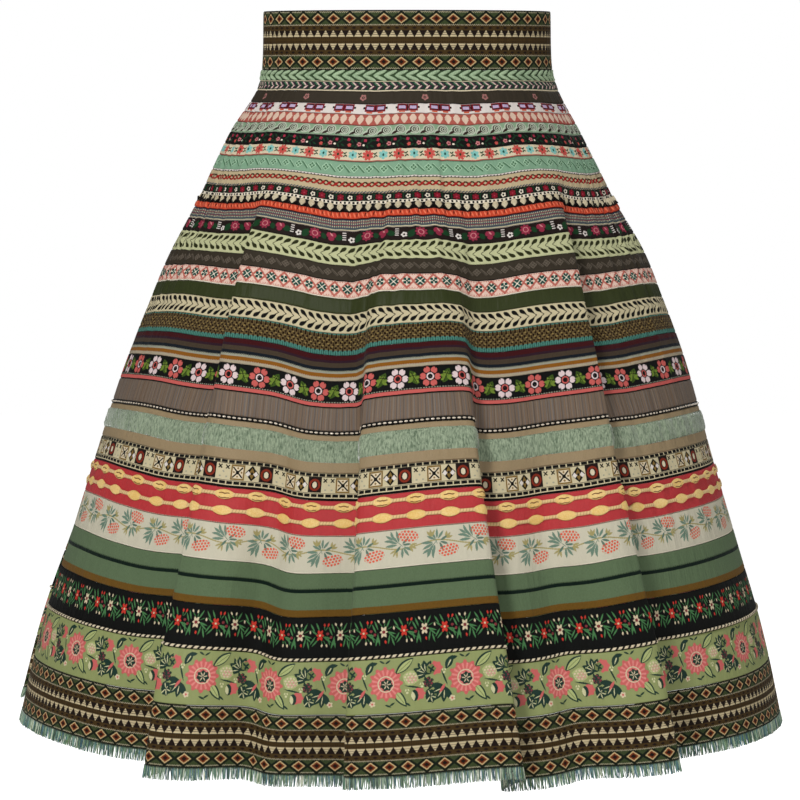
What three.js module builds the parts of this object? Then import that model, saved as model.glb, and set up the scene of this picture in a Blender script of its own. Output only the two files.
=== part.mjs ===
// Tiered ribbon skirt, worn and hollow, with a wide ribbon waistband and a fringed hem.
// Every ribbon is one ring of cloth. Millimetres, +Z up, front towards -Y, +X to the viewer's right.
// The origin is on the skirt's axis, level with the seam under the waistband.
import * as THREE from 'three';

// Driving sizes
const WALL = 1.3; // thickness of the doubled and faced ribbon cloth
const SEAM_GAP = 0.3; // clear space between neighbouring ribbons
const WAISTBAND_HEIGHT = 52;
const SHAPE_LENGTH = 628; // cloth length from the waist seam to the tips of the fringe
const FRINGE_HEADING = 2.2; // height of the strip that the fringe hangs from
const LAP_REACH = 85; // how far round the skirt a fold lifts or sinks the cloth beside it
const SIDE_LIFT = 9; // the hem rides this much higher at the sides than at the front
const MIDDLE = 420; // cloth length at which the folds' middle values hold
const UPPER_COLUMNS = 32; // facets round a smooth ring above the folds
const FOLDS_BEGIN = 80; // cloth length above which the rings are smooth

// The outline. down is measured along the cloth from the waist seam, sway moves the ring sideways.
const OUTLINE = [
  { down: -52, halfWidth: 127, halfDepth: 92, sway: 0.5 },
  { down: 0, halfWidth: 128.5, halfDepth: 94, sway: 0.5 },
  { down: 20, halfWidth: 134, halfDepth: 99.5, sway: 1 },
  { down: 60, halfWidth: 155, halfDepth: 116, sway: -0.5 },
  { down: 120, halfWidth: 182, halfDepth: 138, sway: 0.5 },
  { down: 180, halfWidth: 213, halfDepth: 163, sway: 1.5 },
  { down: 240, halfWidth: 235.5, halfDepth: 188, sway: 0.5 },
  { down: 300, halfWidth: 255.5, halfDepth: 211, sway: -0.5 },
  { down: 380, halfWidth: 278, halfDepth: 239, sway: -2 },
  { down: 460, halfWidth: 301.5, halfDepth: 262, sway: -3 },
  { down: 540, halfWidth: 325, halfDepth: 281, sway: -4.5 },
  { down: 628, halfWidth: 344, halfDepth: 297, sway: -5.5 },
];

// Deep folds where one lobe laps over the next. angle is in degrees from the front, positive to +X, at
// the start, the full height, the middle and the hem. depth, lap and lift are half of the step between
// the two lobes outwards, sideways and upwards, at the full height, the middle and the hem.
// over is 1 where the lobe on the side of the larger angle lies on top, or -1.
const LAPS = [
  { start: 100, full: 190, width: 19, over: 1, angle: [-46, -39.3, -38.9, -34.8],
    depth: [10, 9, 32], lap: [17, 9, 24], lift: [4.2, 1.2, 0] },
  { start: 100, full: 200, width: 20, over: 1, angle: [-9, -8.8, -7.5, -7.2],
    depth: [8, 13, 17], lap: [4, 16, 18], lift: [6, 3.5, 1.2] },
  { start: 100, full: 200, width: 20, over: -1, angle: [12.5, 12, 12.9, 15.6],
    depth: [8, 13, 15], lap: [4, 19, 24], lift: [6, 8, 8.5] },
  { start: 88, full: 190, width: 19, over: -1, angle: [51, 40.3, 41.3, 39.2],
    depth: [10, 9, 32], lap: [17, 10, 23], lift: [4.2, 2.5, 2.5] },
  { start: 110, full: 220, width: 20, over: 1, angle: [106, 107, 109, 111],
    depth: [8, 13, 24], lap: [12, 15, 22], lift: [4, 2.5, 1] },
  { start: 125, full: 230, width: 19, over: -1, angle: [142, 140, 141, 144],
    depth: [9, 12, 20], lap: [13, 17, 20], lift: [4.5, 3, 1.5] },
  { start: 120, full: 225, width: 20, over: 1, angle: [-146, -145, -143, -141],
    depth: [9, 13, 22], lap: [11, 18, 21], lift: [4.5, 3, 1] },
  { start: 105, full: 215, width: 19, over: -1, angle: [-108, -106, -105, -107],
    depth: [8, 12, 26], lap: [12, 14, 22], lift: [4, 2, 1] },
];

// Hollows within a lobe. A deep one has three columns of facets of its own.
const DIPS = [
  { start: 180, full: 260, width: 21, angle: [-26, -25.3, -24.6, -23.8], depth: [7, 21, 30], columns: true },
  { start: 220, full: 290, width: 21, angle: [28, 27.5, 26.5, 28], depth: [5, 16, 22], columns: true },
  { start: 170, full: 270, width: 30, angle: [-124, -124, -123, -124], depth: [3, 8, 12] },
  { start: 190, full: 280, width: 32, angle: [-178, -177, -175, -174], depth: [4, 9, 13] },
  { start: 180, full: 280, width: 28, angle: [163, 163, 162, 161], depth: [2, 6, 8] },
  { start: 175, full: 270, width: 30, angle: [125, 125, 126, 127], depth: [3, 7, 11] },
];

// Small rises and sinks of the worn cloth in mm, at each angle from the front and each cloth length
const LIFT_LENGTHS = [0, 60, 120, 160, 200, 240, 280, 330, 390, 460, 540, 628];
const LIFTS = [
  { angle: -180, lift: [0, 0, 0, 0, 0, 0, 0, 0, 0, 0, 0, 0] },
  { angle: -140, lift: [0, 0, 0, 0, 0, 0, 0, 0, 0, 0, 0, 0] },
  { angle: -110, lift: [0, 0.5, 1, 1.5, 1.5, 1.5, 2, 2, 2, 1.5, 1, 1.5] },
  { angle: -85, lift: [0, 1, 1.5, 3, 4.5, 4.5, 5.5, 5, 5.5, 4, 3, 3.5] },
  { angle: -70, lift: [0, 0.5, 1.5, 4.5, 7.5, 9.5, 9, 8.5, 8.5, 5.5, 3.5, 5] },
  { angle: -58, lift: [0, 1, 2, 5, 10.5, 13, 11.5, 10, 6, 2.5, 2, 4] },
  { angle: -48, lift: [0, 2, 4, 6.5, 10, 12.5, 10.5, 8, 3, 0, 0, 0.5] },
  { angle: -38, lift: [0, 1, 4, 7.5, 10, 11.5, 9.5, 7.5, 3.5, 2, 2, 0] },
  { angle: -29, lift: [0, 0, 1, 3, 7.5, 9, 7, 4.5, 0.5, 0, 0.5, -0.5] },
  { angle: -20, lift: [0, -1, -3, -2.5, 2, 3, 0, -1, -4, -6.5, -5, -2.5] },
  { angle: -12, lift: [0, -2, -3.5, -4.5, -1, 1, -0.5, -1.5, -4, -4, -3, -1.5] },
  { angle: -4, lift: [0, -0.5, -3.5, -6, -3.5, -1.5, -1.5, -2.5, -6.5, -6, -3.5, -1.5] },
  { angle: 4, lift: [0, 0, -2.5, -5.5, -3.5, 0.5, 2, 1.5, -1.5, -2, -0.5, -0.5] },
  { angle: 12, lift: [0, -0.5, -3, -4.5, -2, 2.5, 4.5, 3.5, 1.5, 1.5, 2, 0.5] },
  { angle: 20, lift: [0, -1.5, -3, -2.5, 1, 4, 3, 2.5, -1.5, -3, -1.5, -0.5] },
  { angle: 29, lift: [0, 0, -0.5, 1, 5.5, 7, 4.5, 3.5, -1.5, -3.5, -2, -0.5] },
  { angle: 38, lift: [0, 1.5, 3, 4.5, 5.5, 7, 7, 5.5, 2, 1, 0.5, 0.5] },
  { angle: 48, lift: [0, 1, 2.5, 2.5, 4.5, 5.5, 5, 4.5, 0.5, -1.5, -1.5, 0] },
  { angle: 58, lift: [0, 0, -1, 0.5, 5, 7.5, 6.5, 5, 1.5, -1, -1.5, 0.5] },
  { angle: 70, lift: [0, -2, -2.5, 0, 4.5, 7.5, 7, 5, 2, 0, -1, 1] },
  { angle: 85, lift: [0, -2, -1.5, 0, 2.5, 4.5, 5, 3, 2, -0.5, 0, 0.5] },
  { angle: 110, lift: [0, -1, -0.5, 0, 1, 1.5, 2, 1, 0.5, 0, -0.5, 0] },
  { angle: 140, lift: [0, 0, 0, 0, 0, 0, 0, 0, 0, 0, 0, 0] },
  { angle: 180, lift: [0, 0, 0, 0, 0, 0, 0, 0, 0, 0, 0, 0] },
];

// The ribbons below the waistband, from the waist down. width is the height of the cloth that shows.
const RIBBONS = [
  { name: 'tier_01_sage_braid', width: 9.1, colour: 0x8fa98a, roughness: 0.85 },
  { name: 'tier_02_twill_braid', width: 9.6, colour: 0x8f9478, roughness: 0.85 },
  { name: 'tier_03_taupe_star', width: 11.5, colour: 0x564d45, roughness: 0.7 },
  { name: 'tier_04_gem_pairs', width: 9.7, colour: 0xd8ccc4, roughness: 0.7 },
  { name: 'tier_05_salmon_hearts', width: 10.6, colour: 0xd58c7c, roughness: 0.75 },
  { name: 'tier_06_sage_scrolls', width: 10.5, colour: 0x9aa68c, roughness: 0.75 },
  { name: 'tier_07_black_sprigs', width: 11.4, colour: 0x1f1f1f, roughness: 0.7 },
  { name: 'tier_08_cream_posies', width: 11.3, colour: 0xe6d8c4, roughness: 0.75 },
  { name: 'tier_09_mint_relief', width: 14.5, colour: 0x8fbb9f, roughness: 0.6 },
  { name: 'tier_10_beige_chain', width: 13.9, colour: 0xc9b59b, roughness: 0.8 },
  { name: 'tier_11_scallop_trim', width: 16.7, colour: 0x2c2826, roughness: 0.8 },
  { name: 'tier_12_coral_cord', width: 6.9, colour: 0xe06a48, roughness: 0.8 },
  { name: 'tier_13_fine_plaid', width: 10.5, colour: 0x7d7880, roughness: 0.75 },
  { name: 'tier_14_brown_roses', width: 13.6, colour: 0x33261f, roughness: 0.7 },
  { name: 'tier_15_pale_leaves', width: 20.8, colour: 0xb9c39a, roughness: 0.7 },
  { name: 'tier_16_taupe_relief', width: 15.8, colour: 0x4a423a, roughness: 0.6 },
  { name: 'tier_17_teal_stars', width: 16.8, colour: 0xe5b3a5, roughness: 0.75 },
  { name: 'tier_18_olive_satin', width: 13.7, colour: 0x3f4a25, roughness: 0.4 },
  { name: 'tier_19_black_leaves', width: 17.6, colour: 0xd9c8a6, roughness: 0.7 },
  { name: 'tier_20_crochet_grid', width: 18.1, colour: 0x6b5a35, roughness: 0.85 },
  { name: 'tier_21_stripes', width: 21.2, colour: 0x5b3a3d, roughness: 0.8 },
  { name: 'tier_22_bold_flowers', width: 23.2, colour: 0x1d1b1b, roughness: 0.7 },
  { name: 'tier_23_taupe_grosgrain', width: 19.8, colour: 0x8c7a6b, roughness: 0.65 },
  { name: 'tier_24_bead_edge', width: 3.7, colour: 0x161412, roughness: 0.6 },
  { name: 'tier_25_sage_plush', width: 31.3, colour: 0x8ba285, roughness: 0.95 },
  { name: 'tier_26_patchwork', width: 22.4, colour: 0xb9a68a, roughness: 0.75 },
  { name: 'tier_27_red_cords', width: 29.7, colour: 0xc22f3a, roughness: 0.75 },
  { name: 'tier_28_berry_sprays', width: 31.3, colour: 0xdcd3c0, roughness: 0.7 },
  { name: 'tier_29_green_melange', width: 37.2, colour: 0x6f8667, roughness: 0.85 },
  { name: 'tier_30_black_daisies', width: 38.2, colour: 0x131512, roughness: 0.7 },
  { name: 'tier_31_satin_blooms', width: 45.7, colour: 0x98ab72, roughness: 0.45 },
  { name: 'tier_32_hem_ribbon', width: 50.6, colour: 0x4a3423, roughness: 0.8 },
];

const RADIANS = Math.PI / 180;

// A smooth curve through values given at places, with the slope of the neighbours at each place
function smoothThrough(x, places, values) {
  const last = places.length - 1;
  const slope = (i) => {
    const before = Math.max(i - 1, 0);
    const after = Math.min(i + 1, last);
    return (values[after] - values[before]) / (places[after] - places[before]);
  };
  let i = 0;
  while (i < last - 1 && x > places[i + 1]) i += 1;
  const span = places[i + 1] - places[i];
  const s = Math.min(Math.max((x - places[i]) / span, 0), 1);
  return (2 * s ** 3 - 3 * s ** 2 + 1) * values[i] + (s ** 3 - 2 * s ** 2 + s) * span * slope(i)
    + (3 * s ** 2 - 2 * s ** 3) * values[i + 1] + (s ** 3 - s ** 2) * span * slope(i + 1);
}

function outlineAt(down, column) {
  return smoothThrough(down, OUTLINE.map((row) => row.down), OUTLINE.map((row) => row[column]));
}

// A fold's angle, in radians, and how strong it is at a cloth length
function foldAngle(fold, down) {
  return RADIANS * smoothThrough(down, [fold.start, fold.full, MIDDLE, SHAPE_LENGTH], fold.angle);
}

function foldValue(fold, column, down) {
  if (down <= fold.start) return 0;
  const places = [fold.start - 60, fold.start, fold.full, MIDDLE, SHAPE_LENGTH];
  return smoothThrough(down, places, [0, 0, ...fold[column]]);
}

// Height of the smooth skirt at a cloth length: the cloth keeps its length as it flares
function heightTable() {
  const step = 2;
  const table = [];
  let height = WAISTBAND_HEIGHT;
  for (let down = -WAISTBAND_HEIGHT; down <= SHAPE_LENGTH + 10; down += step) {
    table.push(height);
    const wider = outlineAt(down + step, 'halfWidth') - outlineAt(down, 'halfWidth');
    const deeper = outlineAt(down + step, 'halfDepth') - outlineAt(down, 'halfDepth');
    height -= Math.sqrt(step ** 2 - (wider ** 2 + deeper ** 2) / 2);
  }
  const seam = table[WAISTBAND_HEIGHT / step];
  return { step, heights: table.map((value) => value - seam) };
}
const HEIGHTS = heightTable();

function heightAt(down) {
  const place = (down + WAISTBAND_HEIGHT) / HEIGHTS.step;
  const i = Math.min(Math.max(Math.floor(place), 0), HEIGHTS.heights.length - 2);
  const part = place - i;
  return HEIGHTS.heights[i] * (1 - part) + HEIGHTS.heights[i + 1] * part;
}

function turnBetween(angle, centre) {
  return Math.atan2(Math.sin(angle - centre), Math.cos(angle - centre));
}

// The lift at an angle and a cloth length: smooth down each row of the table, then round the skirt
function liftAt(angle, down) {
  const row = LIFTS.map((entry) => smoothThrough(down, LIFT_LENGTHS, entry.lift));
  return smoothThrough(turnBetween(angle, 0) / RADIANS, LIFTS.map((entry) => entry.angle), row);
}

// The point of the cloth's outer face at an angle round the skirt and a cloth length down it
function clothPoint(angle, down) {
  const a = outlineAt(down, 'halfWidth');
  const b = outlineAt(down, 'halfDepth');
  const radius = (a + b) / 2;
  let outwards = 0;
  let sideways = 0;
  let upwards = SIDE_LIFT * Math.sin(angle) ** 2 * Math.max(down / SHAPE_LENGTH, 0) ** 1.5;
  upwards += liftAt(angle, down);
  for (const lap of LAPS) {
    const along = turnBetween(angle, foldAngle(lap, down)) * radius;
    const x = along / lap.width;
    const step = lap.over * Math.tanh(1.4 * x) * Math.exp(-((along / LAP_REACH) ** 2));
    outwards += foldValue(lap, 'depth', down) * step;
    upwards += foldValue(lap, 'lift', down) * step;
    sideways -= foldValue(lap, 'lap', down) * x * Math.exp(0.5 - 0.5 * x * x);
  }
  for (const dip of DIPS) {
    const x = (turnBetween(angle, foldAngle(dip, down)) * radius) / dip.width;
    outwards -= foldValue(dip, 'depth', down) * Math.exp(-x * x);
  }
  const normal = new THREE.Vector2(Math.sin(angle) / a, -Math.cos(angle) / b).normalize();
  return new THREE.Vector3(
    a * Math.sin(angle) + normal.x * outwards - normal.y * sideways + outlineAt(down, 'sway'),
    -b * Math.cos(angle) + normal.y * outwards + normal.x * sideways,
    heightAt(down) + upwards,
  );
}

// The point on the inner face: the outer point moved in along the cloth's own normal
function innerPoint(angle, down) {
  const small = 0.01;
  const across = clothPoint(angle + small, down).sub(clothPoint(angle - small, down));
  const along = clothPoint(angle, down - 1).sub(clothPoint(angle, down + 1));
  const normal = across.cross(along).normalize();
  return clothPoint(angle, down).addScaledVector(normal, -WALL);
}

// Angles of the facets round a ring. Each lap has four columns, two at its rolled edges, and the
// cloth between two laps has columns about as far apart as the space allows.
const LAP_COLUMNS = [-1.3, -0.62, 0.62, 1.3];
const COLUMN_SPACING = 48;
const DIP_REACH = 1.3; // from a deep hollow's middle to its outer columns, in widths of the hollow

function betweenCounts() {
  const order = [...LAPS].sort((p, q) => foldAngle(p, SHAPE_LENGTH) - foldAngle(q, SHAPE_LENGTH));
  return order.map((lap, i) => {
    const next = order[(i + 1) % order.length];
    let turn = foldAngle(next, SHAPE_LENGTH) - foldAngle(lap, SHAPE_LENGTH);
    if (turn <= 0) turn += 2 * Math.PI;
    const radius = (outlineAt(SHAPE_LENGTH, 'halfWidth') + outlineAt(SHAPE_LENGTH, 'halfDepth')) / 2;
    const dip = DIPS.find((entry) => {
      const past = foldAngle(entry, SHAPE_LENGTH) - foldAngle(lap, SHAPE_LENGTH);
      return entry.columns && past > 0 && past < turn;
    });
    return { lap, next, dip, count: Math.max(1, Math.round((turn * radius - 52) / COLUMN_SPACING) - 1) };
  });
}
const BETWEEN = betweenCounts();

function columnAngles(down) {
  const radius = (outlineAt(down, 'halfWidth') + outlineAt(down, 'halfDepth')) / 2;
  const angles = [];
  for (const { lap, next, dip, count } of BETWEEN) {
    const own = LAP_COLUMNS.map((x) => foldAngle(lap, down) + (x * lap.width) / radius);
    angles.push(...own);
    let end = foldAngle(next, down) + (LAP_COLUMNS[0] * next.width) / radius;
    if (end < own.at(-1)) end += 2 * Math.PI;
    if (dip) {
      const middle = foldAngle(dip, down);
      const reach = (DIP_REACH * dip.width) / radius;
      angles.push(middle - Math.min(reach, (middle - own.at(-1)) / 2), middle);
      angles.push(middle + Math.min(reach, (end - middle) / 2));
      continue;
    }
    for (let i = 1; i <= count; i += 1) {
      angles.push(own.at(-1) + ((end - own.at(-1)) * i) / (count + 1));
    }
  }
  return angles;
}

function evenAngles() {
  return Array.from({ length: UPPER_COLUMNS }, (_, i) => (2 * Math.PI * (i + 0.5)) / UPPER_COLUMNS);
}

// A closed mesh from lists of points and of faces with their corners anticlockwise seen from outside
function closedMesh(name, points, faces, colour, roughness) {
  const positions = [];
  for (const face of faces) {
    for (let i = 2; i < face.length; i += 1) {
      for (const corner of [face[0], face[i - 1], face[i]]) positions.push(...points[corner].toArray());
    }
  }
  const geometry = new THREE.BufferGeometry();
  geometry.setAttribute('position', new THREE.Float32BufferAttribute(positions, 3));
  geometry.computeVertexNormals();
  const material = new THREE.MeshStandardMaterial({ color: colour, roughness, metalness: 0 });
  const mesh = new THREE.Mesh(geometry, material);
  mesh.name = name;
  return mesh;
}

// One ribbon: a ring of cloth between two cloth lengths
function ribbonRing({ name, colour, roughness }, from, to) {
  const anglesAt = (down) => (to > FOLDS_BEGIN ? columnAngles(down) : evenAngles());
  const edges = [from, to].map((down) => {
    const angles = anglesAt(down);
    return {
      outer: angles.map((angle) => clothPoint(angle, down)),
      inner: angles.map((angle) => innerPoint(angle, down)),
    };
  });
  const count = edges[0].outer.length;
  const points = [...edges[0].outer, ...edges[0].inner, ...edges[1].outer, ...edges[1].inner];
  const [topOut, topIn, lowOut, lowIn] = [0, count, 2 * count, 3 * count];
  const faces = [];
  for (let i = 0; i < count; i += 1) {
    const j = (i + 1) % count;
    faces.push([topOut + i, lowOut + i, lowOut + j, topOut + j]);
    faces.push([topIn + j, lowIn + j, lowIn + i, topIn + i]);
    faces.push([topIn + i, topOut + i, topOut + j, topIn + j]);
    faces.push([lowOut + i, lowIn + i, lowIn + j, lowOut + j]);
  }
  return closedMesh(name, points, faces, colour, roughness);
}

// The fringe: a narrow heading with two flat locks of yarn under each facet of the hem
const LOCK_SPANS = [[0.04, 0.4], [0.54, 0.9]];

function fringe(from, to) {
  const rows = [from, from + FRINGE_HEADING, to].map((down) => {
    const angles = columnAngles(down);
    return {
      outer: angles.map((angle) => clothPoint(angle, down)),
      inner: angles.map((angle) => innerPoint(angle, down)),
    };
  });
  const facets = rows[0].outer.length;
  const between = (list, facet, part) => list[facet].clone().lerp(list[(facet + 1) % facets], part);
  const points = [];
  const faces = [];
  const add = (point) => points.push(point) - 1;
  const columns = [];
  for (let facet = 0; facet < facets; facet += 1) {
    for (const part of [0, ...LOCK_SPANS.flat()]) {
      columns.push({
        facet,
        part,
        startsLock: LOCK_SPANS.some(([first]) => first === part),
        corners: [rows[0].outer, rows[0].inner, rows[1].outer, rows[1].inner]
          .map((list) => add(between(list, facet, part))),
      });
    }
  }
  columns.forEach((column, i) => {
    const next = columns[(i + 1) % columns.length];
    const [topOut, topIn, lowOut, lowIn] = column.corners;
    const [topOut2, topIn2, lowOut2, lowIn2] = next.corners;
    faces.push([topOut, lowOut, lowOut2, topOut2]);
    faces.push([topIn2, lowIn2, lowIn, topIn]);
    faces.push([topIn, topOut, topOut2, topIn2]);
    if (!column.startsLock) {
      faces.push([lowOut, lowIn, lowIn2, lowOut2]);
      return;
    }
    const taper = 0.3 * (next.part - column.part);
    const tip = (part) => add(between(rows[2].outer, column.facet, part)
      .lerp(between(rows[2].inner, column.facet, part), 0.5));
    const first = tip(column.part + taper);
    const second = tip(next.part - taper);
    faces.push([lowOut, first, second, lowOut2]);
    faces.push([lowIn2, second, first, lowIn]);
    faces.push([lowOut, lowIn, first]);
    faces.push([lowIn2, lowOut2, second]);
  });
  return closedMesh('fringe', points, faces, 0x7f9187, 0.95);
}

function buildSkirt() {
  const skirt = new THREE.Group();
  const waistband = { name: 'waistband', colour: 0x4a3a26, roughness: 0.8 };
  skirt.add(ribbonRing(waistband, -WAISTBAND_HEIGHT, -SEAM_GAP / 2));
  let down = 0;
  for (const ribbon of RIBBONS) {
    skirt.add(ribbonRing(ribbon, down + SEAM_GAP / 2, down + ribbon.width - SEAM_GAP / 2));
    down += ribbon.width;
  }
  skirt.add(fringe(down + SEAM_GAP / 2, SHAPE_LENGTH));
  return skirt;
}

export default buildSkirt();
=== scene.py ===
"""Tiered ribbon skirt: the cloth, trims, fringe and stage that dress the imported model."""

import math

import bpy
import numpy as np
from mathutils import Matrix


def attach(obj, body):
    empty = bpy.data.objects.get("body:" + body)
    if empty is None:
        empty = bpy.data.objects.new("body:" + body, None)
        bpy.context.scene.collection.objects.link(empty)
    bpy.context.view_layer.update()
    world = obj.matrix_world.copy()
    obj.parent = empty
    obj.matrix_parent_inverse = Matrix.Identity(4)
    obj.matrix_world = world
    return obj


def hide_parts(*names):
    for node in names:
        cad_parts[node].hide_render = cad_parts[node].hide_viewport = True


bl_info = {
    "name": "Tiered Ribbon Skirt",
    "version": (1, 0, 0),
    "blender": (4, 5, 0),
    "location": "3D View > Sidebar > Skirt",
    "description": "Makes a worn skirt of woven ribbons, braids and trims with a fringed hem",
    "category": "Add Mesh",
}

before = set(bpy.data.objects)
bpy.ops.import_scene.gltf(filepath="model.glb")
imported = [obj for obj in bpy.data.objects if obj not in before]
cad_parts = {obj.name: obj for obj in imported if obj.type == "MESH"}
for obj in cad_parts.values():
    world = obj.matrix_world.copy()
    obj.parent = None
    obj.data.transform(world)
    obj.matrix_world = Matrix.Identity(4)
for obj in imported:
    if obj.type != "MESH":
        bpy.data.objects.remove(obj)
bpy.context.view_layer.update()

MM = 0.001
FULL_TURN = 6.28318
QUARTER_TURN = 1.5708
SHAPE_LENGTH = 628.0
WAISTBAND_HEIGHT = 52.0
LAP_REACH = 85.0
LAP_STEEPNESS = 1.4
SIDE_LIFT = 9.0
MIDDLE = 420.0

# The outline: cloth length below the waist seam, half width, half depth and sideways sway, in mm.
OUTLINE = np.array([
    (-52, 127, 92, 0.5), (0, 128.5, 94, 0.5), (20, 134, 99.5, 1), (60, 155, 116, -0.5),
    (120, 182, 138, 0.5), (180, 213, 163, 1.5), (240, 235.5, 188, 0.5), (300, 255.5, 211, -0.5),
    (380, 278, 239, -2), (460, 301.5, 262, -3), (540, 325, 281, -4.5), (628, 344, 297, -5.5),
])

# Folds where one lobe laps over the next: start, full, width, side on top, angles at the start, full
# height, middle and hem, then the outward, sideways and upward half steps at full height, middle and hem.
LAPS = (
    (100, 190, 19, 1, (-46, -39.3, -38.9, -34.8), (10, 9, 32), (17, 9, 24), (4.2, 1.2, 0)),
    (100, 200, 20, 1, (-9, -8.8, -7.5, -7.2), (8, 13, 17), (4, 16, 18), (6, 3.5, 1.2)),
    (100, 200, 20, -1, (12.5, 12, 12.9, 15.6), (8, 13, 15), (4, 19, 24), (6, 8, 8.5)),
    (88, 190, 19, -1, (51, 40.3, 41.3, 39.2), (10, 9, 32), (17, 10, 23), (4.2, 2.5, 2.5)),
    (110, 220, 20, 1, (106, 107, 109, 111), (8, 13, 24), (12, 15, 22), (4, 2.5, 1)),
    (125, 230, 19, -1, (142, 140, 141, 144), (9, 12, 20), (13, 17, 20), (4.5, 3, 1.5)),
    (120, 225, 20, 1, (-146, -145, -143, -141), (9, 13, 22), (11, 18, 21), (4.5, 3, 1)),
    (105, 215, 19, -1, (-108, -106, -105, -107), (8, 12, 26), (12, 14, 22), (4, 2, 1)),
)

# Soft hollows within a lobe: start, full, width, the four angles, depth at full height, middle and hem.
DIPS = (
    (180, 260, 21, (-26, -25.3, -24.6, -23.8), (7, 21, 30)),
    (220, 290, 21, (28, 27.5, 26.5, 28), (5, 16, 22)),
    (170, 270, 30, (-124, -124, -123, -124), (3, 8, 12)),
    (190, 280, 32, (-178, -177, -175, -174), (4, 9, 13)),
    (180, 280, 28, (163, 163, 162, 161), (2, 6, 8)),
    (175, 270, 30, (125, 125, 126, 127), (3, 7, 11)),
)

# Small rises and sinks of the worn cloth, in mm: the angle from the front, then one value a cloth length.
LIFT_LENGTHS = (0, 60, 120, 160, 200, 240, 280, 330, 390, 460, 540, 628)
LIFTS = (
    (-180, (0, 0, 0, 0, 0, 0, 0, 0, 0, 0, 0, 0)),
    (-140, (0, 0, 0, 0, 0, 0, 0, 0, 0, 0, 0, 0)),
    (-110, (0, 0.5, 1, 1.5, 1.5, 1.5, 2, 2, 2, 1.5, 1, 1.5)),
    (-85, (0, 1, 1.5, 3, 4.5, 4.5, 5.5, 5, 5.5, 4, 3, 3.5)),
    (-70, (0, 0.5, 1.5, 4.5, 7.5, 9.5, 9, 8.5, 8.5, 5.5, 3.5, 5)),
    (-58, (0, 1, 2, 5, 10.5, 13, 11.5, 10, 6, 2.5, 2, 4)),
    (-48, (0, 2, 4, 6.5, 10, 12.5, 10.5, 8, 3, 0, 0, 0.5)),
    (-38, (0, 1, 4, 7.5, 10, 11.5, 9.5, 7.5, 3.5, 2, 2, 0)),
    (-29, (0, 0, 1, 3, 7.5, 9, 7, 4.5, 0.5, 0, 0.5, -0.5)),
    (-20, (0, -1, -3, -2.5, 2, 3, 0, -1, -4, -6.5, -5, -2.5)),
    (-12, (0, -2, -3.5, -4.5, -1, 1, -0.5, -1.5, -4, -4, -3, -1.5)),
    (-4, (0, -0.5, -3.5, -6, -3.5, -1.5, -1.5, -2.5, -6.5, -6, -3.5, -1.5)),
    (4, (0, 0, -2.5, -5.5, -3.5, 0.5, 2, 1.5, -1.5, -2, -0.5, -0.5)),
    (12, (0, -0.5, -3, -4.5, -2, 2.5, 4.5, 3.5, 1.5, 1.5, 2, 0.5)),
    (20, (0, -1.5, -3, -2.5, 1, 4, 3, 2.5, -1.5, -3, -1.5, -0.5)),
    (29, (0, 0, -0.5, 1, 5.5, 7, 4.5, 3.5, -1.5, -3.5, -2, -0.5)),
    (38, (0, 1.5, 3, 4.5, 5.5, 7, 7, 5.5, 2, 1, 0.5, 0.5)),
    (48, (0, 1, 2.5, 2.5, 4.5, 5.5, 5, 4.5, 0.5, -1.5, -1.5, 0)),
    (58, (0, 0, -1, 0.5, 5, 7.5, 6.5, 5, 1.5, -1, -1.5, 0.5)),
    (70, (0, -2, -2.5, 0, 4.5, 7.5, 7, 5, 2, 0, -1, 1)),
    (85, (0, -2, -1.5, 0, 2.5, 4.5, 5, 3, 2, -0.5, 0, 0.5)),
    (110, (0, -1, -0.5, 0, 1, 1.5, 2, 1, 0.5, 0, -0.5, 0)),
    (140, (0, 0, 0, 0, 0, 0, 0, 0, 0, 0, 0, 0)),
    (180, (0, 0, 0, 0, 0, 0, 0, 0, 0, 0, 0, 0)),
)


def smooth_through(x, places, values):
    """Cubic Hermite curve through values at places: each slope is the rise between its two neighbours
    over their distance, and the curve stays level outside the first and last place."""
    x = np.asarray(x, float)
    places = np.asarray(places, float)
    values = np.asarray(values, float)
    slope = np.empty_like(values)
    slope[1:-1] = (values[2:] - values[:-2]) / (places[2:] - places[:-2])
    slope[0] = (values[1] - values[0]) / (places[1] - places[0])
    slope[-1] = (values[-1] - values[-2]) / (places[-1] - places[-2])
    i = np.searchsorted(places[1:-1], x, side="left")
    span = places[i + 1] - places[i]
    s = np.clip((x - places[i]) / span, 0, 1)
    return ((2 * s**3 - 3 * s**2 + 1) * values[i] + (s**3 - 2 * s**2 + s) * span * slope[i]
            + (3 * s**2 - 2 * s**3) * values[i + 1] + (s**3 - s**2) * span * slope[i + 1])


def outline_at(down, column):
    """One column of the outline table at a cloth length."""
    return smooth_through(down, OUTLINE[:, 0], OUTLINE[:, column])


def fold_angle(fold, down):
    """A fold's angle round the skirt, in radians, through its four places down the cloth."""
    return np.radians(smooth_through(down, (fold[0], fold[1], MIDDLE, SHAPE_LENGTH), fold_angles(fold)))


def fold_angles(fold):
    """The angle column of a lap or a dip."""
    return fold[4] if len(fold) == 8 else fold[3]


def fold_value(fold, column, down):
    """Nothing above the fold's start, then a smooth curve through its three values."""
    places = (fold[0] - 60, fold[0], fold[1], MIDDLE, SHAPE_LENGTH)
    return np.where(down <= fold[0], 0.0, smooth_through(down, places, (0, 0) + tuple(fold[column])))


def height_table():
    """Heights at cloth lengths 2 mm apart: each step sinks by the root of the step squared less half the
    squares of what the half width and half depth grow by, so the cloth keeps its length as it flares."""
    down = np.arange(-WAISTBAND_HEIGHT, SHAPE_LENGTH + 11, 2.0)
    wider = np.diff(outline_at(down, 1))
    deeper = np.diff(outline_at(down, 2))
    sink = np.sqrt(4.0 - (wider**2 + deeper**2) / 2)
    heights = WAISTBAND_HEIGHT - np.concatenate(([0], np.cumsum(sink)))
    return down, heights - np.interp(0, down, heights)


DOWN_PLACES, HEIGHTS = height_table()


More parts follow.
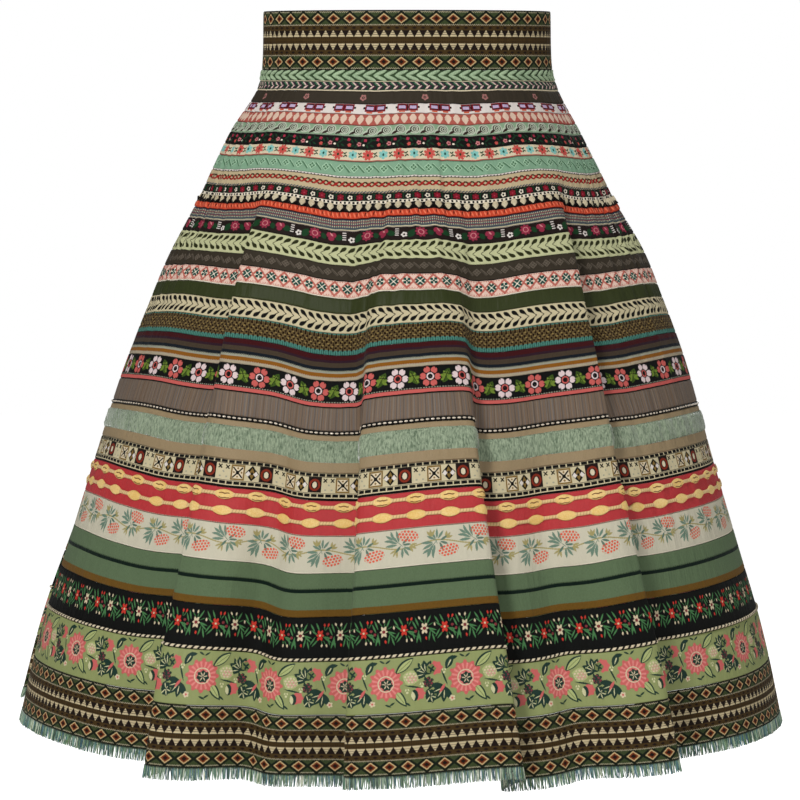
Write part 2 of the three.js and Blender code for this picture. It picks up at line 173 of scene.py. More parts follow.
def lift_grid():
    """The table of lifts at every degree and every 4 mm of cloth, smooth down each row and round the
    skirt."""
    down = np.arange(-WAISTBAND_HEIGHT, SHAPE_LENGTH + 13, 4.0)
    rows = np.array([smooth_through(down, LIFT_LENGTHS, row[1]) for row in LIFTS])
    degrees = np.arange(-180, 181.0)
    angles = [row[0] for row in LIFTS]
    return np.array([smooth_through(degrees, angles, column) for column in rows.T])


LIFT_GRID = lift_grid()


def lift_at(angle, down):
    """The lift at an angle and a cloth length, between the four nearest places of the grid."""
    x = np.degrees(turn_between(angle, 0)) + 180
    y = np.clip((down + WAISTBAND_HEIGHT) / 4, 0, len(LIFT_GRID) - 1.001)
    i = np.clip(np.floor(x).astype(int), 0, 359)
    j = np.floor(y).astype(int)
    x = x - i
    y = y - j
    near = LIFT_GRID[j, i] * (1 - x) + LIFT_GRID[j, i + 1] * x
    far = LIFT_GRID[j + 1, i] * (1 - x) + LIFT_GRID[j + 1, i + 1] * x
    return near * (1 - y) + far * y


def turn_between(angle, centre):
    """The difference of two angles, between half a turn back and half a turn on."""
    return np.arctan2(np.sin(angle - centre), np.cos(angle - centre))


def cloth_point(angle, down):
    """Outer face of the cloth in mm. An ellipse at each cloth length, moved outwards, sideways and up by
    each lap, as a tanh step and a bell's slope, and inwards by each dip, as a bell."""
    down = np.asarray(down, float) + 0 * np.asarray(angle, float)
    a = outline_at(down, 1)
    b = outline_at(down, 2)
    radius = (a + b) / 2
    outwards = np.zeros_like(down)
    sideways = np.zeros_like(down)
    upwards = SIDE_LIFT * np.sin(angle) ** 2 * np.maximum(down / SHAPE_LENGTH, 0) ** 1.5
    upwards += lift_at(angle, down)
    for lap in LAPS:
        along = turn_between(angle, fold_angle(lap, down)) * radius
        x = along / lap[2]
        step = lap[3] * np.tanh(LAP_STEEPNESS * x) * np.exp(-((along / LAP_REACH) ** 2))
        outwards += fold_value(lap, 5, down) * step
        upwards += fold_value(lap, 7, down) * step
        sideways -= fold_value(lap, 6, down) * x * np.exp(0.5 - 0.5 * x * x)
    for dip in DIPS:
        x = turn_between(angle, fold_angle(dip, down)) * radius / dip[2]
        outwards -= fold_value(dip, 4, down) * np.exp(-x * x)
    nx = np.sin(angle) / a
    ny = -np.cos(angle) / b
    size = np.hypot(nx, ny)
    nx = nx / size
    ny = ny / size
    return np.stack((
        a * np.sin(angle) + nx * outwards - ny * sideways + outline_at(down, 3),
        -b * np.cos(angle) + ny * outwards + nx * sideways,
        np.interp(down, DOWN_PLACES, HEIGHTS) + upwards,
    ), axis=-1)


def cloth_normal(angle, down):
    """Unit normal of the outer face: the cross product of the steps round and up the cloth."""
    across = cloth_point(angle + 0.004, down) - cloth_point(angle - 0.004, down)
    along = cloth_point(angle, down - 1) - cloth_point(angle, down + 1)
    normal = np.cross(across, along)
    return normal / np.linalg.norm(normal, axis=-1, keepdims=True)


COLUMNS = 576
LAP_BELL = 0.11
LAP_CROWDING = 1.7
LAP_CENTRES = np.sort([math.radians(lap[4][3]) for lap in LAPS])
LAP_ORDER = sorted(LAPS, key=lambda lap: lap[4][3])


def column_places():
    """Places round the hem, closer together at the laps: even steps of a density that is one plus a
    bell at each lap."""
    fine = np.linspace(-math.pi, math.pi, 7201)
    bells = np.exp(-((turn_between(fine[:, None], LAP_CENTRES[None, :]) / LAP_BELL) ** 2)).sum(1)
    total = np.concatenate(([0], np.cumsum(1 + LAP_CROWDING * (bells[1:] + bells[:-1]) / 2)))
    return np.interp(np.arange(COLUMNS) / COLUMNS * total[-1], total, fine)


PLACES = column_places()


def angle_of(place, down):
    """The angle at a cloth length of a column that is named by its place round the hem: the columns
    follow the laps, with the shift between two laps shared out evenly."""
    place = np.asarray(place, float) + 0 * np.asarray(down, float)
    down = np.asarray(down, float) + 0 * place
    centres = np.concatenate(([LAP_CENTRES[-1] - 2 * math.pi], LAP_CENTRES, [LAP_CENTRES[0] + 2 * math.pi]))
    laps = [LAP_ORDER[-1]] + LAP_ORDER + [LAP_ORDER[0]]
    wrapped = turn_between(place, 0)
    shift = np.zeros_like(place)
    for i in range(len(laps)):
        reach = np.zeros(len(laps))
        reach[i] = 1
        moved = fold_angle(laps[i], down) - fold_angle(laps[i], SHAPE_LENGTH)
        shift += np.interp(wrapped, centres, reach) * moved
    return place + shift


# How strong the ripple is at each cloth length, in mm, and its waves: how many round the skirt, drift of
# the phase a mm down, phase and share.
RIPPLE_PLACES = (-52, 0, 90, 160, 300, 628)
RIPPLE_STRENGTH = (0.35, 0.5, 1.1, 1.3, 0.8, 0.45)
RIPPLES = (
    (61, 0.021, 0.6, 1.0),
    (97, -0.017, 2.1, 0.8),
    (37, 0.011, 0.0, 0.6),
    (149, 0.03, 4.0, 0.5),
)


def ripple(place, down):
    """Small gathers of the sewn cloth, in mm outwards: sine waves round the skirt whose phases drift down
    it, all swelling and fading together five times round."""
    strength = smooth_through(down, RIPPLE_PLACES, RIPPLE_STRENGTH)
    waves = 0.0
    for count, drift, phase, share in RIPPLES:
        waves = waves + share * np.sin(count * place + drift * down + phase)
    return strength * 0.5 * waves * (0.6 + 0.4 * np.sin(5 * place + 0.01 * down))


def build_mesh(name, points, polygons, corner_uv=None, tint=None):
    """A smooth-shaded mesh object in metres from points in mm and groups of polygons, each an array with
    one row of corners a polygon. corner_uv has one pair a corner, tint one number a point."""
    points = np.asarray(points, float).reshape(-1, 3)
    corners = np.concatenate([group.reshape(-1) for group in polygons])
    totals = np.concatenate([np.full(len(group), group.shape[1]) for group in polygons])
    starts = np.concatenate(([0], np.cumsum(totals)[:-1]))
    mesh = bpy.data.meshes.new(name)
    mesh.vertices.add(len(points))
    mesh.vertices.foreach_set("co", (points * MM).astype(np.float32).reshape(-1))
    mesh.loops.add(len(corners))
    mesh.loops.foreach_set("vertex_index", corners.astype(np.int32))
    mesh.polygons.add(len(totals))
    mesh.polygons.foreach_set("loop_start", starts.astype(np.int32))
    mesh.polygons.foreach_set("use_smooth", np.ones(len(totals), bool))
    mesh.update(calc_edges=True)
    if corner_uv is not None:
        layer = mesh.uv_layers.new(name="Cloth")
        layer.data.foreach_set("uv", np.asarray(corner_uv, np.float32).reshape(-1))
    if tint is not None:
        layer = mesh.attributes.new("tint", "FLOAT", "POINT")
        layer.data.foreach_set("value", np.asarray(tint, np.float32).reshape(-1))
    mesh.validate()
    piece = bpy.data.objects.new(name, mesh)
    bpy.context.scene.collection.objects.link(piece)
    return piece


def grid_faces(rows, columns, first=0, close_rows=True, close_columns=True):
    """Corners of the quads of a grid whose points are numbered along each row in turn."""
    i = np.arange(rows if close_rows else rows - 1)[:, None]
    j = np.arange(columns if close_columns else columns - 1)[None, :]
    below = (i + 1) % rows
    after = (j + 1) % columns
    row = i * columns
    next_row = below * columns
    quads = np.stack((row + j, next_row + j, next_row + after, row + after), -1)
    return quads.reshape(-1, 4) + first


class Ribbon:
    """One ring of cloth: where it lies down the skirt, and its length in whole repeats of its pattern."""

    def __init__(self, top, height, repeat):
        self.top = top
        self.height = height
        middle = top + height / 2
        ring = cloth_point(angle_of(PLACES, middle), np.full(COLUMNS, middle))
        steps = np.linalg.norm(np.roll(ring, -1, 0) - ring, axis=1)
        self.length = steps.sum()
        self.whole = max(1, round(self.length / repeat)) * repeat
        along = np.concatenate(([0], np.cumsum(steps)))
        places = np.concatenate((PLACES, [math.pi]))
        front = np.interp(0, places, along)
        self.along = (along - front) * (self.whole / self.length)
        self.places = places

    def place_of(self, along):
        """The place round the hem of a length along the pattern."""
        start = self.along[0]
        return np.interp((np.asarray(along) - start) % self.whole + start, self.along, self.places)

    def point(self, along, down, out):
        """Points of the worn cloth from lengths along the pattern, mm below the ribbon's top edge and mm
        proud of the cloth."""
        along, down, out = np.broadcast_arrays(along, down, out)
        place = self.place_of(along)
        depth = self.top + down
        angle = angle_of(place, depth)
        lift = (out + ripple(place, depth))[..., None]
        return cloth_point(angle, depth) + cloth_normal(angle, depth) * lift


def shell_rows(height, spacing=4.4, inner_spacing=11.0):
    """Rows down the outer face, close together at the two edges, and back up the inner face."""
    edge = np.array([0.05, 0.3, 0.8, 1.6])
    edge = edge[edge < height / 2 - 0.2]
    middle = np.linspace(edge[-1], height - edge[-1], max(3, int(round((height - 3.2) / spacing)) + 1))
    outer = np.concatenate((edge[:-1], middle, height - edge[:-1][::-1]))
    inner = np.linspace(height - 0.25, 0.25, max(2, int(round(height / inner_spacing)) + 1))
    return outer, inner


def make_shell(ribbon, name, profile, thickness=0.9):
    """The ribbon as a closed shell. The outer face stands profile(mm from the top edge) proud of the
    cloth, and the inner face lies one thickness behind it. Both carry the cloth's ripple."""
    outer, inner = shell_rows(ribbon.height)
    rows = np.concatenate((outer, inner))
    out = np.concatenate((profile(outer), np.full(len(inner), -thickness)))
    down = (ribbon.top + rows)[:, None] + 0 * PLACES[None, :]
    place = PLACES[None, :] + 0 * down
    angle = angle_of(place, down)
    lift = out[:, None] + ripple(place, down)
    points = cloth_point(angle, down) + cloth_normal(angle, down) * lift[..., None]
    quads = grid_faces(len(rows), COLUMNS)
    across = np.tile(np.arange(COLUMNS), len(rows))
    u = ribbon.along
    v = np.repeat(rows, COLUMNS)
    below = np.repeat(np.roll(rows, -1), COLUMNS)
    uv = np.stack((
        np.stack((u[across], v), -1), np.stack((u[across], below), -1),
        np.stack((u[across + 1], below), -1), np.stack((u[across + 1], v), -1),
    ), 1)
    return build_mesh(name, points, [quads], uv)


def flat_profile(height, crown=0.2, dip=0.62, reach=0.6):
    """A ribbon's face: level, with both sewn edges sunk by a bell."""
    return lambda v: crown - dip * np.exp(-((np.minimum(v, height - v) / reach) ** 2))


def cord_profile(height, crown=1.5):
    """A plump braid: a half circle's rise over the whole width."""
    return lambda v: crown * np.sqrt(np.clip(1 - (2 * v / height - 1) ** 2, 0, 1)) - 0.3


def tubes(ribbon, along, down, out, radius, sides, closed=False, flat=1.0):
    """Round strands laid on the cloth, one a row of the path arrays. Each ring is a circle of the radius
    across the path, squeezed outwards by flat. Gives points, polygons, the length along and turn round as
    uv for each corner, and each point's strand number."""
    path = np.stack(np.broadcast_arrays(along, down, out), -1).astype(float)
    count, steps = path.shape[:2]
    if closed:
        ahead = np.roll(path, -1, 1) - np.roll(path, 1, 1)
        ahead[..., 0] = (ahead[..., 0] + ribbon.whole / 2) % ribbon.whole - ribbon.whole / 2
    else:
        ahead = np.gradient(path, axis=1)
    ahead /= np.linalg.norm(ahead, axis=-1, keepdims=True) + 1e-9
    side = np.cross(ahead, np.array([0, 0, 1.0]))
    side /= np.linalg.norm(side, axis=-1, keepdims=True) + 1e-9
    up = np.cross(side, ahead)
    turn = (np.arange(sides) + 0.5) / sides * 2 * math.pi - math.pi / 2
    every = np.zeros((count, steps))
    radius = (radius + every)[..., None, None]
    flat = (flat + every)[..., None, None]
    ring = path[:, :, None, :] + radius * (
        np.cos(turn)[:, None] * side[:, :, None, :] + flat * np.sin(turn)[:, None] * up[:, :, None, :])
    points = ribbon.point(ring[..., 0], ring[..., 1], ring[..., 2])
    each = steps * sides
    shift = np.arange(count)[:, None] * each
    quads = grid_faces(steps, sides, close_rows=closed)[:, ::-1]
    groups = [(quads[None] + shift[..., None]).reshape(-1, 4)]
    lengths = np.concatenate((path[..., 0], path[:, :1, 0] + ribbon.whole), 1) if closed else path[..., 0]
    rounds = np.arange(sides + 1) / sides
    wide = np.stack(np.broadcast_arrays(lengths[..., None], rounds), -1).reshape(count, -1, 2)
    spread = grid_faces(lengths.shape[1], sides + 1, close_rows=False, close_columns=False)[:, ::-1]
    uv = [wide[:, spread.reshape(-1)].reshape(-1, 2)]
    if not closed:
        first = np.arange(sides)
        groups.append(first[None] + shift)
        groups.append((steps - 1) * sides + first[None, ::-1] + shift)
        for end in (0, -1):
            uv.append(np.repeat(np.stack((path[:, end, 0], np.zeros(count)), -1), sides, 0))
    return points.reshape(-1, 3), groups, np.concatenate(uv), np.repeat(np.arange(count), each)


def lumps(ribbon, along, down, out, half_long, half_wide, half_high, turn, around=8, rings=5):
    """Pebble shapes laid on the cloth: ellipsoids turned in the cloth's plane, one an entry."""
    values = np.broadcast_arrays(along, down, out, half_long, half_wide, half_high, turn)
    along, down, out, half_long, half_wide, half_high, turn = (item[:, None, None] for item in values)
    polar = (np.arange(rings) + 0.5)[:, None] / rings * math.pi
    spin = np.arange(around)[None, :] / around * 2 * math.pi
    x = half_long * np.cos(polar)[None]
    y = half_wide * (np.sin(polar) * np.cos(spin))[None]
    z = half_high * (np.sin(polar) * np.sin(spin))[None]
    u = along + x * np.cos(turn) - y * np.sin(turn)
    v = down + x * np.sin(turn) + y * np.cos(turn)
    points = ribbon.point(u, v, out + z)
    count = points.shape[0]
    each = rings * around
    quads = grid_faces(rings, around, close_rows=False)[:, ::-1]
    first = np.arange(around)
    last = (rings - 1) * around + np.arange(around)[::-1]
    shift = np.arange(count)[:, None] * each
    groups = [(quads[None] + shift[..., None]).reshape(-1, 4), first[None] + shift, last[None] + shift]
    return points.reshape(-1, 3), groups, np.repeat(np.arange(count), each)


RIBBONS = {
    "waistband": (52.0, "border_ribbon", "flat", "border", 30.2),
    "tier_01_sage_braid": (9.1, "braid", "flat", "sage_ground", 9.3),
    "tier_02_twill_braid": (9.6, "braid", "plump", "twill", 6.9),
    "tier_03_taupe_star": (11.5, "dark_ribbon", "flat", "taupe_star", 55.0),
    "tier_04_gem_pairs": (9.7, "light_ribbon", "flat", "gem_pairs", 27.8),
    "tier_05_salmon_hearts": (10.6, "light_ribbon", "flat", "salmon_hearts", 7.6),
    "tier_06_sage_scrolls": (10.5, "green_ribbon", "flat", "sage_scrolls", 12.3),
    "tier_07_black_sprigs": (11.4, "dark_ribbon", "flat", "black_sprigs", 25.6),
    "tier_08_cream_posies": (11.3, "light_ribbon", "flat", "cream_posies", 26.8),
    "tier_09_mint_relief": (14.5, "green_ribbon", "flat", "mint_relief", 12.9),
    "tier_10_beige_chain": (13.9, "light_ribbon", "flat", "beige_chain", 5.8),
    "tier_11_scallop_trim": (16.7, "dark_ribbon", "flat", "scallop_trim", 16.8),
    "tier_12_coral_cord": (6.9, "braid", "cord", "coral_cord", 7.6),
    "tier_13_fine_plaid": (10.5, "mixed_ribbon", "flat", "fine_plaid", 1.86),
    "tier_14_brown_roses": (13.6, "dark_ribbon", "flat", "brown_roses", 47.0),
    "tier_15_pale_leaves": (20.8, "green_ribbon", "flat", "pale_leaves", 7.25),
    "tier_16_taupe_relief": (15.8, "dark_ribbon", "flat", "taupe_relief", 12.6),
    "tier_17_teal_stars": (16.8, "light_ribbon", "flat", "teal_stars", 22.6),
    "tier_18_olive_satin": (13.7, "satin_ribbon", "flat", "olive_satin", 10.0),
    "tier_19_black_leaves": (17.6, "light_ribbon", "flat", "black_leaves", 6.93),
    "tier_20_crochet_grid": (18.1, "mixed_ribbon", "flat", "crochet_grid", 4.0),
    "tier_21_stripes": (21.2, "mixed_ribbon", "flat", "stripes", 10.0),
    "tier_22_bold_flowers": (23.2, "dark_ribbon", "flat", "bold_flowers", 54.8),
    "tier_23_taupe_grosgrain": (19.8, "grosgrain", "flat", "taupe_grosgrain", 10.0),
    "tier_24_bead_edge": (3.7, "dark_ribbon", "plump", "black_edge", 4.45),
    "tier_25_sage_plush": (31.3, "plush", "flat", "plush_ground", 10.0),
    "tier_26_patchwork": (22.4, "light_ribbon", "flat", "patchwork", 48.4),
    "tier_27_red_cords": (29.7, "red_ribbon", "flat", "red_ground", 27.9),
    "tier_28_berry_sprays": (31.3, "light_ribbon", "flat", "berry_sprays", 62.0),
    "tier_29_green_melange": (37.2, "green_ribbon", "flat", "green_melange", 10.0),
    "tier_30_black_daisies": (38.2, "dark_ribbon", "flat", "black_daisies", 33.4),
    "tier_31_satin_blooms": (45.7, "satin_ribbon", "flat", "satin_blooms", 66.0),
    "tier_32_hem_ribbon": (50.6, "border_ribbon", "flat", "border", 30.2),
}
RESTS_ON = {node: [above] for above, node in zip(list(RIBBONS), list(RIBBONS)[1:])}
RESTS_ON["waistband"] = ["tier_01_sage_braid"]

# Thread colours.
COLOURS = {
    "charcoal": "#2c2b22", "moss": "#4a5535", "pine": "#1c2614", "wheat": "#c6b087", "rust": "#84431d",
    "umber": "#291b11", "bark": "#53411f", "sand": "#cbbd9d", "stone": "#c2b8a0", "fern": "#4d6045",
    "leaf_green": "#5c8468",
    "cream": "#d9cdb4", "ivory": "#e4dccb", "blush": "#dcc6bb", "plum": "#54304a", "bottle": "#2c4a3a",
    "taupe": "#473f33", "soot": "#2a241d", "dusty_pink": "#ad7f7a", "milk": "#ddd6d0", "crimson": "#8e1f33",
    "ink": "#120f0b", "lavender": "#c5b2cc", "orange": "#cc6a45", "salmon": "#b3665b", "shell": "#dcc4b2",
    "sage": "#94ab90", "mist": "#c0c7b6", "cocoa": "#42332a", "forest": "#1d4a2f", "rose": "#b2415a",
    "pink": "#cf8f90", "coral": "#c9625a", "aqua": "#8fc4bd", "deep_teal": "#1f5a50", "mint": "#8fae95",
    "mint_lit": "#b2cfb4", "mint_dark_and_shaded": "#5f8467", "beige": "#c4b597", "olive": "#4b4023",
    "red": "#a92a27",
    "slate": "#59626a", "flame": "#cf5c42", "flame_lit": "#ee8a6b", "flame_shaded": "#7a2c1c",
    "grey_green": "#6d7a6c", "dusk": "#4a4f62", "brick": "#8d4448", "espresso": "#2b1c17",
    "magenta": "#9b3a52", "leek": "#1e4d2c", "pear": "#c4c5a0", "dark_olive": "#3a3c1c",
    "taupe_shaded": "#5e564b", "taupe_lit": "#786e62", "peach": "#e4c9bb", "clay": "#c0776a",
    "teal": "#26564e",
    "olive_green": "#434a27", "oat": "#cdc3a5", "jet": "#14110c", "hemp": "#7b6a48", "hemp_shade": "#35230f",
    "hemp_lit": "#a08c5c",
    "sea": "#5d9186", "burgundy": "#521f23", "aubergine": "#412a36", "walnut": "#584c3f", "navy": "#232b33",
    "ash": "#a5a595", "ochre": "#98692a", "fleece": "#b9ad98", "grass": "#4c6425", "grass_light": "#7d9140",
    "petal_coral": "#c96f69", "petal_white": "#ddcccb", "mushroom": "#7f7062", "camel": "#a49274",
    "honey": "#8d7544", "brick_red": "#8e3b26", "scarlet": "#c04347", "scarlet_dark": "#a13439",
    "linen": "#cdc8b6", "willow": "#7d9383", "willow_dark": "#6f8577", "straw": "#aea577",
    "berry": "#dd6f58", "meadow": "#6f8064", "night_green": "#1a2d24", "bronze": "#7b5f2c",
    "raven": "#0f110d", "stem": "#5a8a5c", "poppy": "#c94a3c", "daisy": "#d6c9ad", "celery": "#9ba272",
    "celery_dark": "#848e5f", "bloom": "#cd7470", "bloom_light": "#dc938c", "conifer": "#27463a",
    "bud": "#cfcda8", "bud_pink": "#d3a79a", "celery_pale": "#b3bb86", "wine": "#8c4450",
    "taupe_blue": "#76716f", "taupe_warm": "#887058",
    "taupe_light": "#8e8071", "taupe_dim": "#6f6154",
}


def alike(shape, pitch, places, long, high, colour, raised=0.0):
    """The same mark at several places of a repeat, each with its own turn."""
    return [(shape, pitch, at, below, long, high, turn, colour, raised) for at, below, turn in places]


def fan(shape, pitch, at, below, near, turns, long, high, colour, raised=0.1):
    """Marks that spread from one point of a repeat: each starts near mm away and points along its turn."""
    marks = []
    for turn in turns:
        across = (near + long) * math.cos(math.radians(turn))
        down = (near + long) * math.sin(math.radians(turn))
        marks.append((shape, pitch, at + across, below + down, long, high, turn, colour, raised))
    return marks


def relief_marks(pitch, middle, dark, pale):
    """Raised lozenges of four small diamonds, with slanting bars between them, in painted light and shade:
    the pale colour as painted light on the raised parts, the dark colour as painted shade on the sunk parts,
    and each bar a line of painted shade below a line of painted highlight.
    """
    return [
        ("box", pitch, pitch / 2 - 0.35, middle + 0.4, 4.3, 0.6, 46, dark, -0.15),
        ("box", pitch, pitch / 2 + 0.35, middle - 0.35, 4.3, 0.32, 46, pale, 0.25),
        ("diamond", pitch, 0, middle, 3.9, 3.9, 0, pale, 0.2),
        *alike("diamond", pitch, ((-1.65, middle, 0), (1.65, middle, 0), (0, middle - 1.65, 0),
                                  (0, middle + 1.65, 0)), 1.25, 1.25, dark, -0.15),
    ]


